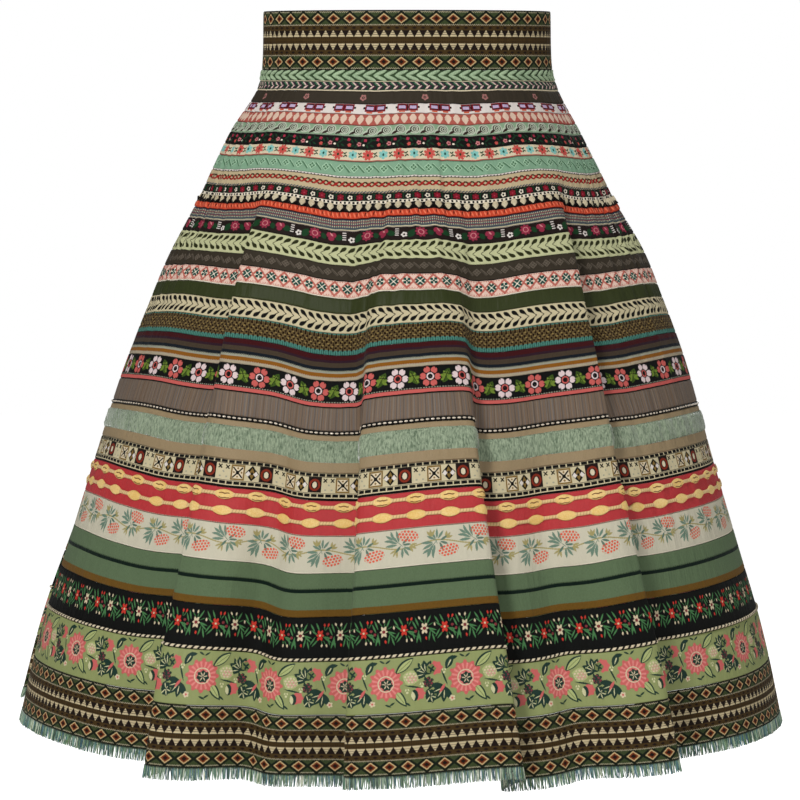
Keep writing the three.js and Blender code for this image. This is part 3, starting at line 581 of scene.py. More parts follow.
PATTERNS = {
    "border": {"finish": "jacquard", "mirror": True, "bands": (
        (0, "charcoal"), (1.1, "moss"), (12.6, "bark"), (17.5, "umber"), (23.2, "bark")), "marks": [
        ("zigzag", 1.89, 0, 1.7, 0.4725, 0.5, 0, "stone", 0.1),
        ("zigzag", 30.2, 0, 7.3, 7.55, 5.7, 0, "pine", 0.05),
        ("zigzag", 30.2, 15.1, 7.3, 7.55, 5.7, 0, "pine", 0.05),
        ("diamond", 15.1, 0, 7.3, 5.7, 4.5, 0, "wheat", 0.15),
        ("diamond", 15.1, 0, 7.3, 4.2, 3.3, 0, "rust", -0.05),
        ("diamond", 15.1, 0, 7.3, 2.3, 1.9, 0, "umber", 0),
        ("zigzag", 1.89, 0, 12.9, 0.4725, 0.5, 0, "stone", 0.1),
        ("diamond", 7.55, 3.8, 15.4, 2.3, 1.1, 0, "umber", 0),
        ("triangle", 7.55, 0, 20.2, 3.5, 2.9, 0, "sand", 0.2),
        ("box", 7.55, 0, 19.4, 3.6, 0.2, 0, "umber", -0.1),
        ("box", 7.55, 0, 21.2, 3.6, 0.2, 0, "umber", -0.1),
        ("box", 1.89, 0, 24.6, 0.42, 0.35, 0, "umber", 0)]},
    "sage_ground": {"finish": "braid", "bands": ((0, "fern"),), "marks": []},
    "twill": {"finish": "braid", "bands": ((0, "cream"), (0.9, "bottle"), (8.2, "cream")), "marks": [
        ("leaf", 6.9, 0, 3.0, 2.7, 0.85, 38, "blush", 0.35),
        ("leaf", 6.9, 1.9, 3.0, 2.7, 0.75, 38, "plum", 0.2),
        ("leaf", 6.9, 1.7, 6.2, 2.7, 0.85, -38, "blush", 0.35),
        ("leaf", 6.9, 3.6, 6.2, 2.7, 0.75, -38, "plum", 0.2),
        ("leaf", 6.9, 5.4, 3.0, 2.5, 0.6, 38, "leaf_green", 0.2)]},
    "taupe_star": {"finish": "fine", "bands": ((0, "soot"), (0.5, "taupe"), (11.0, "soot")), "marks": [
        ("petals", 55, -34, 5.7, 3.1, 5, -90, "dusty_pink", 0.15),
        ("ellipse", 55, -34, 5.7, 1.3, 1.3, 0, "taupe", 0),
        ("ellipse", 55, -34, 5.7, 0.5, 0.5, 0, "dusty_pink", 0)]},
    "gem_pairs": {"finish": "fine", "bands": ((0, "milk"),), "marks": [
        ("box", 27.8, 6, 4.0, 10.4, 1.0, 0, "ink", 0),
        *alike("box", 27.8, ((1.3, 4.0, 0), (10.7, 4.0, 0)), 4.2, 3.4, "crimson", 0.1),
        *alike("box", 27.8, ((1.3, 4.0, 0), (10.7, 4.0, 0)), 3.1, 2.2, "ink"),
        *alike("box", 27.8, ((1.3, 4.0, 0), (10.7, 4.0, 0)), 2.9, 1.5, "lavender", 0.05),
        ("box", 27.8, 6, 4.0, 0.5, 3.4, 0, "ink", 0),
        *alike("box", 27.8, ((1.3, 8.2, 0), (10.7, 8.2, 0)), 2.4, 0.75, "orange")]},
    "salmon_hearts": {"finish": "fine", "bands": ((0, "salmon"), (0.9, "shell"), (9.7, "salmon")),
                      "marks": [
        ("triangle", 7.6, 0, 7.3, 3.5, 2.7, 0, "salmon", 0.1),
        ("triangle", 7.6, 0, 2.9, 3.0, 2.3, 180, "salmon", 0.1),
        ("diamond", 7.6, 0, 5.1, 1.2, 1.2, 0, "salmon", 0)]},
    "sage_scrolls": {"finish": "fine", "bands": ((0, "mist"), (0.5, "sage"), (10.0, "mist")), "marks": [
        ("ellipse", 12.3, 1.0, 4.9, 4.9, 4.5, 0, "mist", 0.08),
        ("leaf", 12.3, -4.2, 7.0, 3.6, 1.9, -34, "mist", 0.08),
        ("leaf", 12.3, -3.6, 7.5, 3.4, 1.15, -28, "cocoa", 0.1),
        ("ellipse", 12.3, 1.0, 4.9, 3.9, 3.3, 0, "cocoa", 0.1),
        ("ring", 12.3, 1.3, 5.0, 2.5, 0.42, 0, "mist", 0),
        ("ring", 12.3, 1.6, 5.1, 1.1, 0.36, 0, "mist", 0),
        ("leaf", 12.3, 3.4, 3.6, 1.0, 0.5, 50, "mist", 0)]},
    "black_sprigs": {"finish": "fine", "bands": ((0, "jet"),), "marks": [
        *alike("leaf", 25.6, ((0, 5.2, -40), (2.6, 8.2, 30), (-1.4, 8.6, 60), (4.4, 3.2, 10),
                              (-11.6, 3.6, 50),
                              (-6.0, 3.4, -70), (11.0, 8.6, -20), (1.6, 2.6, 70), (-10.8, 8.8, -50),
                              (10.6, 4.4, 55)), 2.3, 0.75, "forest", 0.08),
        ("petals", 25.6, -8.4, 6.9, 2.1, 5, 0, "pink", 0.1),
        ("ellipse", 25.6, -8.4, 6.9, 0.8, 0.8, 0, "crimson", 0),
        ("ellipse", 25.6, -4.4, 7.6, 0.95, 0.95, 0, "ivory", 0.1),
        ("petals", 25.6, -3.2, 3.2, 1.5, 4, 0, "rose", 0.1),
        ("petals", 25.6, 7.6, 3.2, 1.6, 4, 20, "rose", 0.1),
        ("petals", 25.6, 8.6, 7.9, 1.7, 5, 10, "coral", 0.1)]},
    "cream_posies": {"finish": "fine", "bands": ((0, "ink"), (0.4, "cream"), (10.2, "salmon"),
                                                 (10.9, "mint")),
                     "marks": [
        ("petals", 26.8, 0, 5.2, 5.0, 8, 0, "coral", 0.12),
        ("ellipse", 26.8, 0, 5.2, 0.9, 1.3, 0, "forest", 0),
        ("petals", 26.8, 13.4, 5.2, 4.1, 6, 0, "aqua", 0.12),
        ("ellipse", 26.8, 13.4, 5.2, 0.9, 1.3, 0, "deep_teal", 0),
        *alike("leaf", 13.4, ((5.6, 4.3, 40), (7.6, 6.2, 40), (6.9, 3.9, -40), (5.9, 6.8, -40)),
               1.5, 0.6, "forest", 0.08)]},
    "mint_relief": {"finish": "fine", "bands": ((0, "mint"), (12.7, "mint_dark_and_shaded"), (13.0, "milk"),
                                                (14.1, "slate")),
                    # The relief is painted: the pale mint is painted light and the dark mint is painted
                    # shade; the dark mint also makes the thin band near the foot.
                    "marks": [*relief_marks(12.9, 6.2, "mint_dark_and_shaded", "mint_lit"),
                              ("box", 3.2, 0, 13.9, 0.7, 0.35, -20, "charcoal", 0)]},
    "beige_chain": {"finish": "fine", "bands": ((0, "beige"),), "marks": [
        ("box", 5.8, 2.9, 5.9, 2.8, 0.8, 38, "olive", 0.15),
        ("box", 5.8, 2.9, 5.9, 2.8, 0.8, -38, "red", 0.15),
        ("box", 5.8, 0, 4.0, 1.3, 0.7, 0, "olive", 0.15), ("box", 5.8, 0, 7.8, 1.3, 0.7, 0, "red", 0.15),
        ("ellipse", 5.8, 2.9, 5.9, 1.3, 1.5, 0, "red", 0.1),
        ("box", 2.9, 0, 12.9, 1.55, 0.5, -28, "slate", 0.15)]},
    "scallop_trim": {"finish": "fine", "bands": (
        (0, "jet"), (7.3, "ivory"), (7.7, "jet"), (9.4, "ivory"), (9.9, "jet")), "marks": [
        ("box", 8.4, 4.2, 3.9, 0.45, 2.7, 0, "forest", 0), ("box", 8.4, 4.2, 1.4, 1.6, 0.4, 0, "forest", 0),
        ("petals", 16.8, 0, 3.9, 3.3, 6, 0, "crimson", 0.12),
        ("ellipse", 16.8, 0, 3.9, 0.7, 0.7, 0, "rose", 0),
        ("petals", 16.8, 8.4, 3.9, 2.3, 5, 0, "ivory", 0.12),
        ("ellipse", 16.8, 8.4, 3.9, 1.0, 1.0, 0, "jet", 0),
        ("box", 3.7, 0, 8.55, 0.95, 1.2, 0, "ivory", 0)]},
    # Painted shade on the cord's two rounded sides and in its sunk strokes, painted highlight on its raised
    # strokes.
    "coral_cord": {"finish": "knit", "bands": ((0, "flame_shaded"), (0.9, "flame"), (6.2, "flame_shaded")),
                   "marks": [
        ("leaf", 3.8, 0, 3.3, 2.8, 0.7, 70, "flame_lit", 0.3),
        ("leaf", 7.6, 2.4, 3.0, 2.3, 0.5, 100, "flame_shaded", -0.2)]},
    "fine_plaid": {"finish": "fine", "bands": (
        (0, "dusk"), (1.1, "grey_green"), (2.6, "brick"), (3.5, "grey_green"), (4.9, "dusk"),
        (5.4, "brick"),
        (6.4, "grey_green"), (7.8, "dusk"), (8.9, "grey_green"), (9.5, "cream")), "marks": [
        *alike("box", 1.86, ((0, 1.9, 0), (0, 4.2, 0), (0, 7.1, 0)), 0.36, 0.6, "stone"),
        ("box", 1.86, 0.93, 4.8, 0.25, 4.6, 0, "dusk", 0)]},
    "brown_roses": {"finish": "fine", "bands": ((0, "milk"), (0.5, "espresso")), "marks": [
        *alike("box", 47, ((0, 2.6, 0), (0, 4.7, 0), (0, 6.8, 0), (0, 8.9, 0)), 1.7, 0.5, "milk", 0.1),
        ("petals", 47, 6.2, 8.6, 2.9, 5, 0, "milk", 0.1),
        ("ellipse", 47, 6.2, 8.6, 1.0, 1.0, 0, "espresso", 0),
        ("leaf", 47, 12.4, 7.4, 4.6, 3.2, -60, "leek", 0.1),
        ("leaf", 47, 28.6, 7.0, 3.4, 2.3, 60, "leek", 0.1),
        ("leaf", 47, 42.0, 7.0, 4.2, 2.8, 10, "leek", 0.1),
        ("petals", 47, 20.8, 5.9, 5.4, 9, 0, "magenta", 0.15),
        ("ring", 47, 20.8, 5.9, 2.3, 0.35, 0, "pink", 0.1),
        ("petals", 47, 35.4, 6.0, 4.5, 3, -90, "magenta", 0.15),
        ("leaf", 47, 35.6, 4.4, 2.2, 0.8, 50, "pink", 0.1)]},
}
PATTERNS.update({
    "pale_leaves": {"finish": "jacquard", "mirror": True, "bands": ((0, "dark_olive"), (0.35, "pear")),
                    "marks": [
        ("box", 7.25, -1.1, 8.6, 2.8, 0.3, -35, "dark_olive", 0.08),
        ("tear", 7.25, 1.9, 5.3, 4.1, 1.75, -37, "dark_olive", 0.12)]},
    "taupe_relief": {"finish": "fine", "bands": ((0, "jet"), (0.4, "taupe"), (14.9, "jet")),
                     # The relief is painted: the palest taupe is painted light on the raised lozenges, the
                     # middle taupe painted shade on the sunk diamonds and bars.
                     "marks": relief_marks(12.6, 7.7, "taupe_shaded", "taupe_lit")},
    "teal_stars": {"finish": "fine", "bands": ((0, "peach"), (15.2, "clay"), (15.6, "ivory")), "marks": [
        ("zigzag", 22.6, 0, 7.8, 5.65, 6.6, 0, "clay", 0.05),
        ("zigzag", 22.6, 11.3, 7.8, 5.65, 6.6, 0, "clay", 0.05),
        ("box", 2.26, 0, 1.2, 0.5, 0.4, 0, "clay", 0), ("box", 2.26, 0, 14.1, 0.5, 0.4, 0, "clay", 0),
        ("diamond", 22.6, 0, 7.6, 4.9, 4.9, 0, "ivory", 0),
        ("petals", 22.6, 0, 7.6, 4.5, 8, 0, "teal", 0.12),
        ("cross", 22.6, 0, 7.6, 3.0, 0.3, 0, "ivory", 0),
        ("ellipse", 22.6, 0, 7.6, 0.8, 0.8, 0, "ivory", 0),
        *alike("box", 22.6, ((11.3, 7.6, 45),), 3.0, 3.0, "ivory"),
        *alike("box", 22.6, ((9.6, 5.9, 0), (13.0, 5.9, 0), (9.6, 9.3, 0), (13.0, 9.3, 0)), 1.25, 1.25,
               "teal", 0.1),
        ("box", 22.6, 11.3, 7.6, 0.9, 0.9, 0, "teal", 0)]},
    "olive_satin": {"finish": "satin", "bands": ((0, "olive_green"),), "marks": []},
    "black_leaves": {"finish": "jacquard", "mirror": True, "bands": ((0, "oat"),), "marks": [
        ("box", 6.93, 1.6, 7.3, 2.7, 0.34, 35, "jet", 0.08),
        ("tear", 6.93, -1.3, 4.4, 4.0, 1.7, 217, "jet", 0.12)]},
    "crochet_grid": {"finish": "knit", "bands": (
        (0, "sea"), (1.3, "hemp"), (14.4, "sea")), "marks": [
        # Painted shade: the dark hemp marks are the crochet's holes and grooves, most of them sunk; painted
        # highlight: the pale hemp marks on its raised knots.
        ("box", 4, 0, 1.6, 0.7, 1.1, 0, "hemp_shade", 0), ("box", 4, 2, 8, 0.3, 6.6, 0, "hemp_shade", -0.2),
        *alike("box", 4, ((0, 3.4, 0), (2, 5.6, 0), (0, 7.8, 0), (2, 10.0, 0), (0, 12.2, 0)),
               1.0, 0.95, "hemp_shade", -0.35),
        *alike("box", 8, ((1.0, 4.6, 0), (5.4, 6.8, 0), (1.4, 8.9, 0), (5.0, 11.1, 0)), 0.8, 0.6,
               "hemp_lit", 0.1),
        ("box", 4, 2, 14.2, 0.7, 1.0, 0, "hemp_shade", -0.2),
        ("box", 2, 0, 16.4, 0.22, 1.7, 0, "bottle", -0.2)]},
    "stripes": {"finish": "knit", "bands": (
        (0, "burgundy"), (4.3, "aubergine"), (6.3, "walnut"), (10.2, "navy"), (12.6, "ash"),
        (15.1, "ochre"),
        (18.5, "fleece")), "marks": [
        ("zigzag", 2.0, 0, 18.6, 0.5, 0.4, 0, "fleece", 0.15),
        ("zigzag", 2.0, 0, 12.9, 0.5, 0.35, 0, "navy", 0)]},
    "bold_flowers": {"finish": "jacquard", "bands": (
        (0, "raven"), (18.2, "ash"), (18.7, "raven"), (19.4, "petal_coral"), (22.1, "raven")), "marks": [
        ("box", 2.28, 0, 18.5, 0.55, 0.6, 0, "raven", 0),
        *alike("leaf", 54.8, ((-4.6, 9.2, -62), (22.8, 9.2, -118)), 6.9, 3.5, "grass", 0.12),
        *fan("leaf", 54.8, -4.6, 10.4, 0.5, (-160, -110, -70, -10, 30, 150), 2.6, 1.2, "grass_light", 0.12),
        *fan("leaf", 54.8, 22.8, 10.4, 0.5, (-170, -120, -80, -20, 40, 150), 2.6, 1.2, "grass_light", 0.12),
        *alike("box", 54.8, ((-4.6, 9.2, -62), (22.8, 9.2, -118), (-4.0, 7.4, 10), (22.0, 7.6, -10)), 5.0,
               0.3, "raven"),
        *fan("ellipse", 54.8, -18.2, 9.3, 3.5, (5, 65, 125, 185, 245, 305), 2.75, 2.8, "petal_coral", 0.2),
        *fan("ellipse", 54.8, 9.2, 9.3, 3.5, (5, 65, 125, 185, 245, 305), 2.75, 2.8, "petal_white", 0.2),
        *fan("leaf", 54.8, -18.2, 9.3, 7.9, (5, 65, 125, 185, 245, 305), 0.9, 0.5, "raven", -0.1),
        *fan("leaf", 54.8, 9.2, 9.3, 7.9, (5, 65, 125, 185, 245, 305), 0.9, 0.5, "raven", -0.1),
        *alike("ellipse", 54.8, ((-18.2, 9.3, 0), (9.2, 9.3, 0)), 4.0, 4.0, "raven"),
        ("ellipse", 54.8, -18.2, 9.3, 3.2, 3.2, 0, "petal_white", 0.15),
        ("ellipse", 54.8, 9.2, 9.3, 3.2, 3.2, 0, "petal_coral", 0.15),
        *alike("spiral", 54.8, ((-18.2, 9.3, 0), (9.2, 9.3, 0)), 2.1, 1.8, "raven")]},
    "taupe_grosgrain": {"finish": "ribbed", "bands": ((0, "mushroom"),), "marks": [
        ("box", 1.7, 0, 15, 0.25, 20, 0, "taupe_warm", 0), ("box", 2.9, 1, 15, 0.3, 20, 0, "taupe_blue", 0),
        ("box", 4.3, 2, 15, 0.3, 20, 0, "taupe_light", 0),
        ("box", 6.1, 3, 15, 0.4, 20, 0, "taupe_dim", 0)]},
    "black_edge": {"finish": "braid", "bands": ((0, "jet"),), "marks": []},
    "plush_ground": {"finish": "ribbed", "bands": ((0, "camel"),), "marks": []},
    "patchwork": {"finish": "jacquard", "bands": (
        (0, "oat"), (2.9, "jet"), (3.4, "oat"), (16.2, "jet"), (16.6, "oat"), (20.7, "jet")), "marks": [
        *alike("box", 6.05, ((0, 1.5, 0), (0, 18.5, 0)), 2.5, 1.25, "jet", 0.1),
        *alike("cross", 48.4, ((-21.2, 6.0, 0), (-15.0, 6.0, 0)), 1.7, 0.5, "jet"),
        *alike("box", 48.4, ((-20.8, 13.8, 0), (-15.4, 13.8, 0), (-18.1, 9.8, 45)), 0.8, 0.6, "ash"),
        ("box", 48.4, -6.05, 9.8, 5.9, 6.2, 0, "honey", 0.08),
        ("box", 48.4, -6.05, 9.8, 4.6, 4.9, 0, "cream", 0),
        ("cross", 48.4, -6.05, 9.8, 4.4, 0.6, 0, "jet", 0.08),
        ("ellipse", 48.4, -6.05, 9.8, 1.5, 1.5, 0, "jet", 0.08),
        *alike("diamond", 48.4, ((-6.05, 6.4, 0), (-6.05, 13.2, 0), (-9.4, 9.8, 0), (-2.7, 9.8, 0)),
               1.0, 1.0, "honey"),
        ("diamond", 48.4, 6.05, 9.8, 5.8, 6.3, 0, "jet", 0.1),
        ("diamond", 48.4, 6.05, 9.8, 2.6, 4.6, 0, "honey", 0.05),
        *alike("diamond", 48.4, ((2.9, 10.2, 0), (9.2, 10.2, 0)), 2.1, 2.3, "milk", 0.1),
        ("ellipse", 48.4, 6.05, 9.8, 0.9, 1.2, 0, "jet", 0),
        ("box", 48.4, 18.15, 9.8, 5.9, 6.3, 0, "espresso", 0.05),
        ("ring", 48.4, 18.15, 9.8, 4.1, 0.9, 0, "brick_red", 0.1),
        ("petals", 48.4, 18.15, 9.8, 3.1, 12, 0, "espresso", 0),
        ("ellipse", 48.4, 18.15, 9.8, 2.0, 2.6, 0, "cream", 0.1)]},
    "red_ground": {"finish": "ribbed", "bands": ((0, "scarlet"), (29.2, "scarlet_dark")), "marks": [
        ("box", 1.55, 0, 29.5, 0.4, 0.5, 0, "linen", 0)]},
    "berry_sprays": {"finish": "jacquard", "bands": ((0, "linen"), (30.4, "ivory")), "marks": [
        ("vine", 62, 0, 14.0, 15.5, 2.4, 0, "straw", 0.05),
        *fan("leaf", 62, -17.5, 13.4, 1.8, (102, 128, 154, 180), 5.2, 1.15, "willow"),
        *fan("leaf", 62, -20.5, 17.6, 1.2, (84, 118, 150), 4.0, 1.05, "willow"),
        *alike("box", 62, ((-19.0, 15.4, 130), (14.0, 11.4, 42), (-17.6, 10.6, 66)), 4.6, 0.25, "willow"),
        *fan("leaf", 62, -16.0, 12.0, 1.6, (206, 236, 272, 306), 4.0, 1.05, "willow"),
        *fan("leaf", 62, -20.5, 9.0, 0.4, (232, 262, 296), 3.0, 1.0, "straw"),
        *fan("leaf", 62, -8.6, 10.8, 0.4, (-80, -48, -16), 2.9, 0.95, "straw"),
        *fan("leaf", 62, -14.2, 12.8, 0.9, (-30, 20, 68), 3.6, 1.0, "willow_dark"),
        *fan("leaf", 62, 14.6, 12.6, 1.8, (176, 203, 230, 258), 5.2, 1.15, "willow"),
        *fan("leaf", 62, 10.4, 9.2, 1.2, (182, 214, 248), 3.8, 1.05, "willow"),
        *fan("leaf", 62, 17.0, 14.2, 1.4, (26, 58, 92), 4.3, 1.1, "willow"),
        *fan("leaf", 62, 12.4, 16.6, 0.4, (92, 122, 154), 3.3, 0.8, "straw"),
        *fan("leaf", 62, 23.0, 14.0, 0.4, (-10, 30, 66), 3.0, 0.95, "straw"),
        *fan("leaf", 62, 16.2, 13.0, 0.9, (-40, 0, 130), 3.6, 1.0, "willow_dark"),
        ("berries", 62, -6.6, 20.6, 8.6, 5.0, -12, "berry", 0.15),
        ("berries", 62, 22.0, 6.2, 8.8, 4.8, 8, "berry", 0.15)]},
    "green_melange": {"finish": "melange", "bands": (
        (0, "meadow"), (12.6, "night_green"), (16.3, "meadow"), (30.4, "bronze"), (36.8, "jet")), "marks": [
        ("box", 1.5, 0, 13.0, 0.4, 0.3, 0, "meadow", 0), ("box", 1.5, 0, 30.6, 0.4, 0.4, 0, "meadow", 0)]},
    "black_daisies": {"finish": "jacquard", "bands": ((0, "raven"),), "marks": [
        *alike("leaf", 33.4, ((-6.1, 9.8, 70), (-8.0, 12.4, 66), (-6.1, 23.4, 100), (-4.1, 23.0, 80),
                              (3.7, 9.1, -65),
                              (6.2, 16.8, 20), (6.6, 19.0, 42), (7.2, 24.0, 74), (4.0, 22.2, 100)),
               4.3, 0.66, "stem", 0.1),
        *alike("leaf", 33.4, ((10.2, 9.1, 60), (14.4, 8.4, 66), (10.8, 20.4, -60), (22.6, 17.8, 14),
                              (23.4, 20.0, 34),
                              (12.8, 22.4, -50), (-5.0, 20.6, 92), (12.2, 13.6, 40), (-9.2, 20.6, 74)), 4.1,
                              0.66, "stem", 0.1),
        *alike("leaf", 33.4, ((20.0, 9.0, 84), (22.0, 10.0, -58), (-2.4, 9.4, 50), (0.8, 10.0, -82),
                              (18.6, 22.4, 80),
                              (21.0, 22.4, 60), (5.2, 12.6, -28)), 2.6, 0.3, "stem", 0.05),
        *fan("leaf", 33.4, 0, 15.8, 0.4, (-112, -68, 68, 112), 2.3, 1.1, "daisy", 0.15),
        *fan("leaf", 33.4, 0, 15.8, 0.4, (0, 180), 1.5, 1.0, "daisy", 0.15),
        *fan("leaf", 33.4, 16.7, 15.8, 0.4, (-112, -68, 68, 112), 2.3, 1.15, "poppy", 0.15),
        *fan("leaf", 33.4, 16.7, 15.8, 0.4, (0, 180), 1.5, 1.1, "poppy", 0.15),
        ("ellipse", 33.4, 0, 15.8, 1.4, 1.4, 0, "brick", 0.05),
        ("ellipse", 33.4, 16.7, 15.8, 0.9, 0.9, 0, "daisy", 0.05),
        *alike("leaf", 33.4, ((-4.1, 6.6, 62), (0.4, 6.8, -82), (18.7, 24.6, 96), (22.6, 24.6, 78),
                              (8.4, 13.0, 84)),
               1.6, 0.75, "daisy", 0.12),
        *alike("leaf", 33.4, ((20.0, 7.0, 84), (23.2, 6.9, -74), (1.2, 24.2, 82)), 1.7, 0.8, "poppy", 0.12),
        *alike("ellipse", 33.4, ((22.9, 14.6, 0), (-7.4, 17.6, 0)), 1.2, 1.2, "brick", 0.1)]},
    "satin_blooms": {"finish": "satin", "bands": ((0, "celery"),), "marks": [
        *alike("leaf", 66, ((16.0, 7.4, -38), (10.8, 33.0, 55)), 10.0, 3.7, "conifer", 0.1),
        *alike("leaf", 66, ((16.4, 7.6, -38), (10.5, 32.6, 55)), 8.6, 2.5, "celery_pale", 0.05),
        *alike("box", 66, ((16.4, 7.6, -38), (10.5, 32.6, 55)), 6.5, 0.3, "celery_dark"),
        *fan("leaf", 66, 33.5, 15.5, -1.0, (170, 206, 236, 262, 292, 330), 6.2, 2.7, "conifer"),
        *fan("leaf", 66, 33.5, 15.5, 1.6, (170, 206, 236, 262, 292), 3.6, 0.4, "bud"),
        *fan("leaf", 66, 30.4, 10.4, 0.5, (150, 250), 2.6, 0.35, "celery_pale"),
        *fan("bloom", 66, -29.6, 34.0, -3.0, (75, 250), 4.6, 7, "conifer"),
        *fan("leaf", 66, -29.6, 34.0, 0.4, (20, 75, 130, 250, 310), 2.6, 0.45, "bud"),
        *fan("leaf", 66, -17.6, 28.0, -1.0, (62, 96, 130, 162, 196), 6.6, 2.6, "conifer"),
        *fan("leaf", 66, -17.6, 28.0, 2.0, (96, 130, 162), 3.8, 0.4, "bud"),
        ("leaf", 66, -19.4, 28.6, 4.6, 1.2, -55, "bloom", 0.1),
        ("leaf", 66, -13.2, 7.6, 6.2, 3.0, -62, "conifer", 0.1),
        ("leaf", 66, -12.6, 7.4, 4.4, 0.5, -62, "bud", 0.05),
        ("leaf", 66, -10.0, 4.2, 4.0, 1.6, -10, "conifer", 0.1),
        ("bloom", 66, -24.4, 11.4, 6.3, 7, 0, "bloom", 0.15),
        ("bloom", 66, -28.2, 12.0, 4.4, 5, 0, "celery_dark", 0.05),
        *fan("leaf", 66, -28.2, 12.0, -0.6, (40, 100, 220, 320), 2.2, 0.8, "conifer"),
        ("bloom", 66, 27.0, 31.2, 5.7, 7, 0, "bloom", 0.15),
        ("ellipse", 66, 23.4, 32.4, 2.9, 4.6, 0, "conifer", 0.1),
        ("leaf", 66, 22.2, 32.8, 4.0, 1.6, 82, "bud", 0.1),
        ("leaf", 66, 20.7, 18.0, 7.0, 6.2, 20, "celery_pale", 0.05),
        ("berries", 66, 20.7, 18.0, 5.6, 4.6, 0, "daisy", 0.12),
        ("berries", 66, 21.8, 19.0, 4.2, 3.4, 0, "bud_pink", 0.12),
        ("petals", 66, -31.0, 22.6, 4.8, 7, 0, "conifer", 0.1),
        ("berries", 66, -31.0, 22.6, 3.9, 3.7, 0, "wine", 0.1),
        *alike("leaf", 66, ((22.4, 25.2, 12), (-28.0, 26.6, -32), (33.5, 20.6, 64), (-17.4, 20.0, 70)), 7.2,
               0.75, "conifer"),
        ("petals", 66, -11.6, 37.2, 2.6, 5, 0, "daisy", 0.12),
        ("ellipse", 66, -11.6, 37.2, 0.9, 0.9, 0, "bloom", 0),
        *alike("leaf", 66, ((4.4, 38.2, -32), (1.0, 39.4, 24), (-2.4, 3.0, 30), (2.5, 3.2, -34),
                            (17.6, 39.2, 40)),
               2.8, 0.8, "conifer"),
        *alike("berries", 66, ((17.4, 28.6, 0), (29.6, 24.4, 0), (-17.6, 14.4, 0)), 1.8, 2.4, "bud"),
        ("bloom", 66, 0, 21.2, 15.2, 12, 0, "bloom", 0.25),
        ("rays", 66, 0, 21.2, 11.6, 7.0, 0, "bloom_light", 0.05),
        ("ring", 66, 0, 21.4, 6.3, 0.5, 0, "daisy", 0.1),
        ("berries", 66, 0.2, 21.4, 6.0, 5.6, 0, "bloom_light", 0.05),
        ("bloom", 66, 0.6, 22.0, 5.6, 7, 10, "conifer", 0.1),
        *fan("leaf", 66, 0.6, 22.0, 0.3, (-120, -70, -10, 60, 120, 190), 1.9, 0.4, "daisy", 0.1)]},
})


def linear(colour):
    """A colour in hex as the linear red, green and blue that a shader takes, deepened by a power of 1.25
    because dyed thread is darker and fuller than the colour that a lit cloth shows."""
    values = [int(colour[i:i + 2], 16) / 255 for i in (1, 3, 5)]
    values = [v / 12.92 if v <= 0.04045 else ((v + 0.055) / 1.055) ** 2.4 for v in values]
    return tuple(min(1.12 * v**1.25, 0.9) for v in values) + (1.0,)


class Field:
    """A number that changes over a surface: a socket of a node tree, whose arithmetic adds Math nodes."""

    def __init__(self, tree, socket):
        self.tree = tree
        self.socket = socket

    def math(self, kind, *others):
        node = self.tree.nodes.new("ShaderNodeMath")
        node.operation = kind
        for place, value in zip(node.inputs, (self,) + others):
            put(self.tree, place, value)
        return Field(self.tree, node.outputs[0])

    def __add__(self, other):
        return self.math("ADD", other)

    def __radd__(self, other):
        return self.math("ADD", other)

    def __sub__(self, other):
        return self.math("SUBTRACT", other)

    def __rsub__(self, other):
        return self.math("MULTIPLY", -1.0) + other

    def __mul__(self, other):
        return self.math("MULTIPLY", other)

    def __rmul__(self, other):
        return self.math("MULTIPLY", other)

    def __truediv__(self, other):
        return self.math("DIVIDE", other)

    def __abs__(self):
        return self.math("ABSOLUTE")

    def least(self, other):
        return self.math("MINIMUM", other)

    def most(self, other):
        return self.math("MAXIMUM", other)

    def sine(self):
        return self.math("SINE")

    def clamp(self):
        node = self.tree.nodes.new("ShaderNodeClamp")
        put(self.tree, node.inputs[0], self)
        return Field(self.tree, node.outputs[0])


def put(tree, place, value):
    """Links a field or an output to an input, or sets a plain value on it."""
    if isinstance(value, Field):
        tree.links.new(value.socket, place)
    elif isinstance(value, bpy.types.NodeSocket):
        tree.links.new(value, place)
    else:
        place.default_value = value


def new_group(name, inputs, outputs):
    """A shader node group with named number or colour sockets. Names that start with Colour are colours."""
    tree = bpy.data.node_groups.new(name, "ShaderNodeTree")
    for names, side in ((inputs, "INPUT"), (outputs, "OUTPUT")):
        for label in names:
            kind = "NodeSocketColor" if label.startswith("Colour") else "NodeSocketFloat"
            tree.interface.new_socket(name=label, in_out=side, socket_type=kind)
    entry = tree.nodes.new("NodeGroupInput")
    leave = tree.nodes.new("NodeGroupOutput")
    fields = {label: Field(tree, entry.outputs[label]) for label in inputs}
    return tree, fields, leave


def place_group(tree, group, **values):
    """Puts a group into a tree, with values or links for its inputs by name, spaces as underscores."""
    node = tree.nodes.new("ShaderNodeGroup")
    node.node_tree = group
    for label, value in values.items():
        put(tree, node.inputs[label.replace("_", " ")], value)
    return node


def mix_colour(tree, factor, first, second, kind="MIX"):
    """The first colour covered by the second where the factor is 1."""
    node = tree.nodes.new("ShaderNodeMix")
    node.data_type = "RGBA"
    node.blend_type = kind
    node.clamp_factor = True
    put(tree, node.inputs[0], factor)
    put(tree, node.inputs[6], first)
    put(tree, node.inputs[7], second)
    return node.outputs[2]


def noise(tree, vector, scale, detail=2.0, roughness=0.5):
    """Soft noise between 0 and 1 about a half."""
    node = tree.nodes.new("ShaderNodeTexNoise")
    node.inputs["Scale"].default_value = scale
    node.inputs["Detail"].default_value = detail
    node.inputs["Roughness"].default_value = roughness
    put(tree, node.inputs["Vector"], vector)
    return Field(tree, node.outputs["Fac"])


def vector_of(tree, x, y, z=0.0):
    node = tree.nodes.new("ShaderNodeCombineXYZ")
    for place, value in zip(node.inputs, (x, y, z)):
        put(tree, place, value)
    return node.outputs[0]


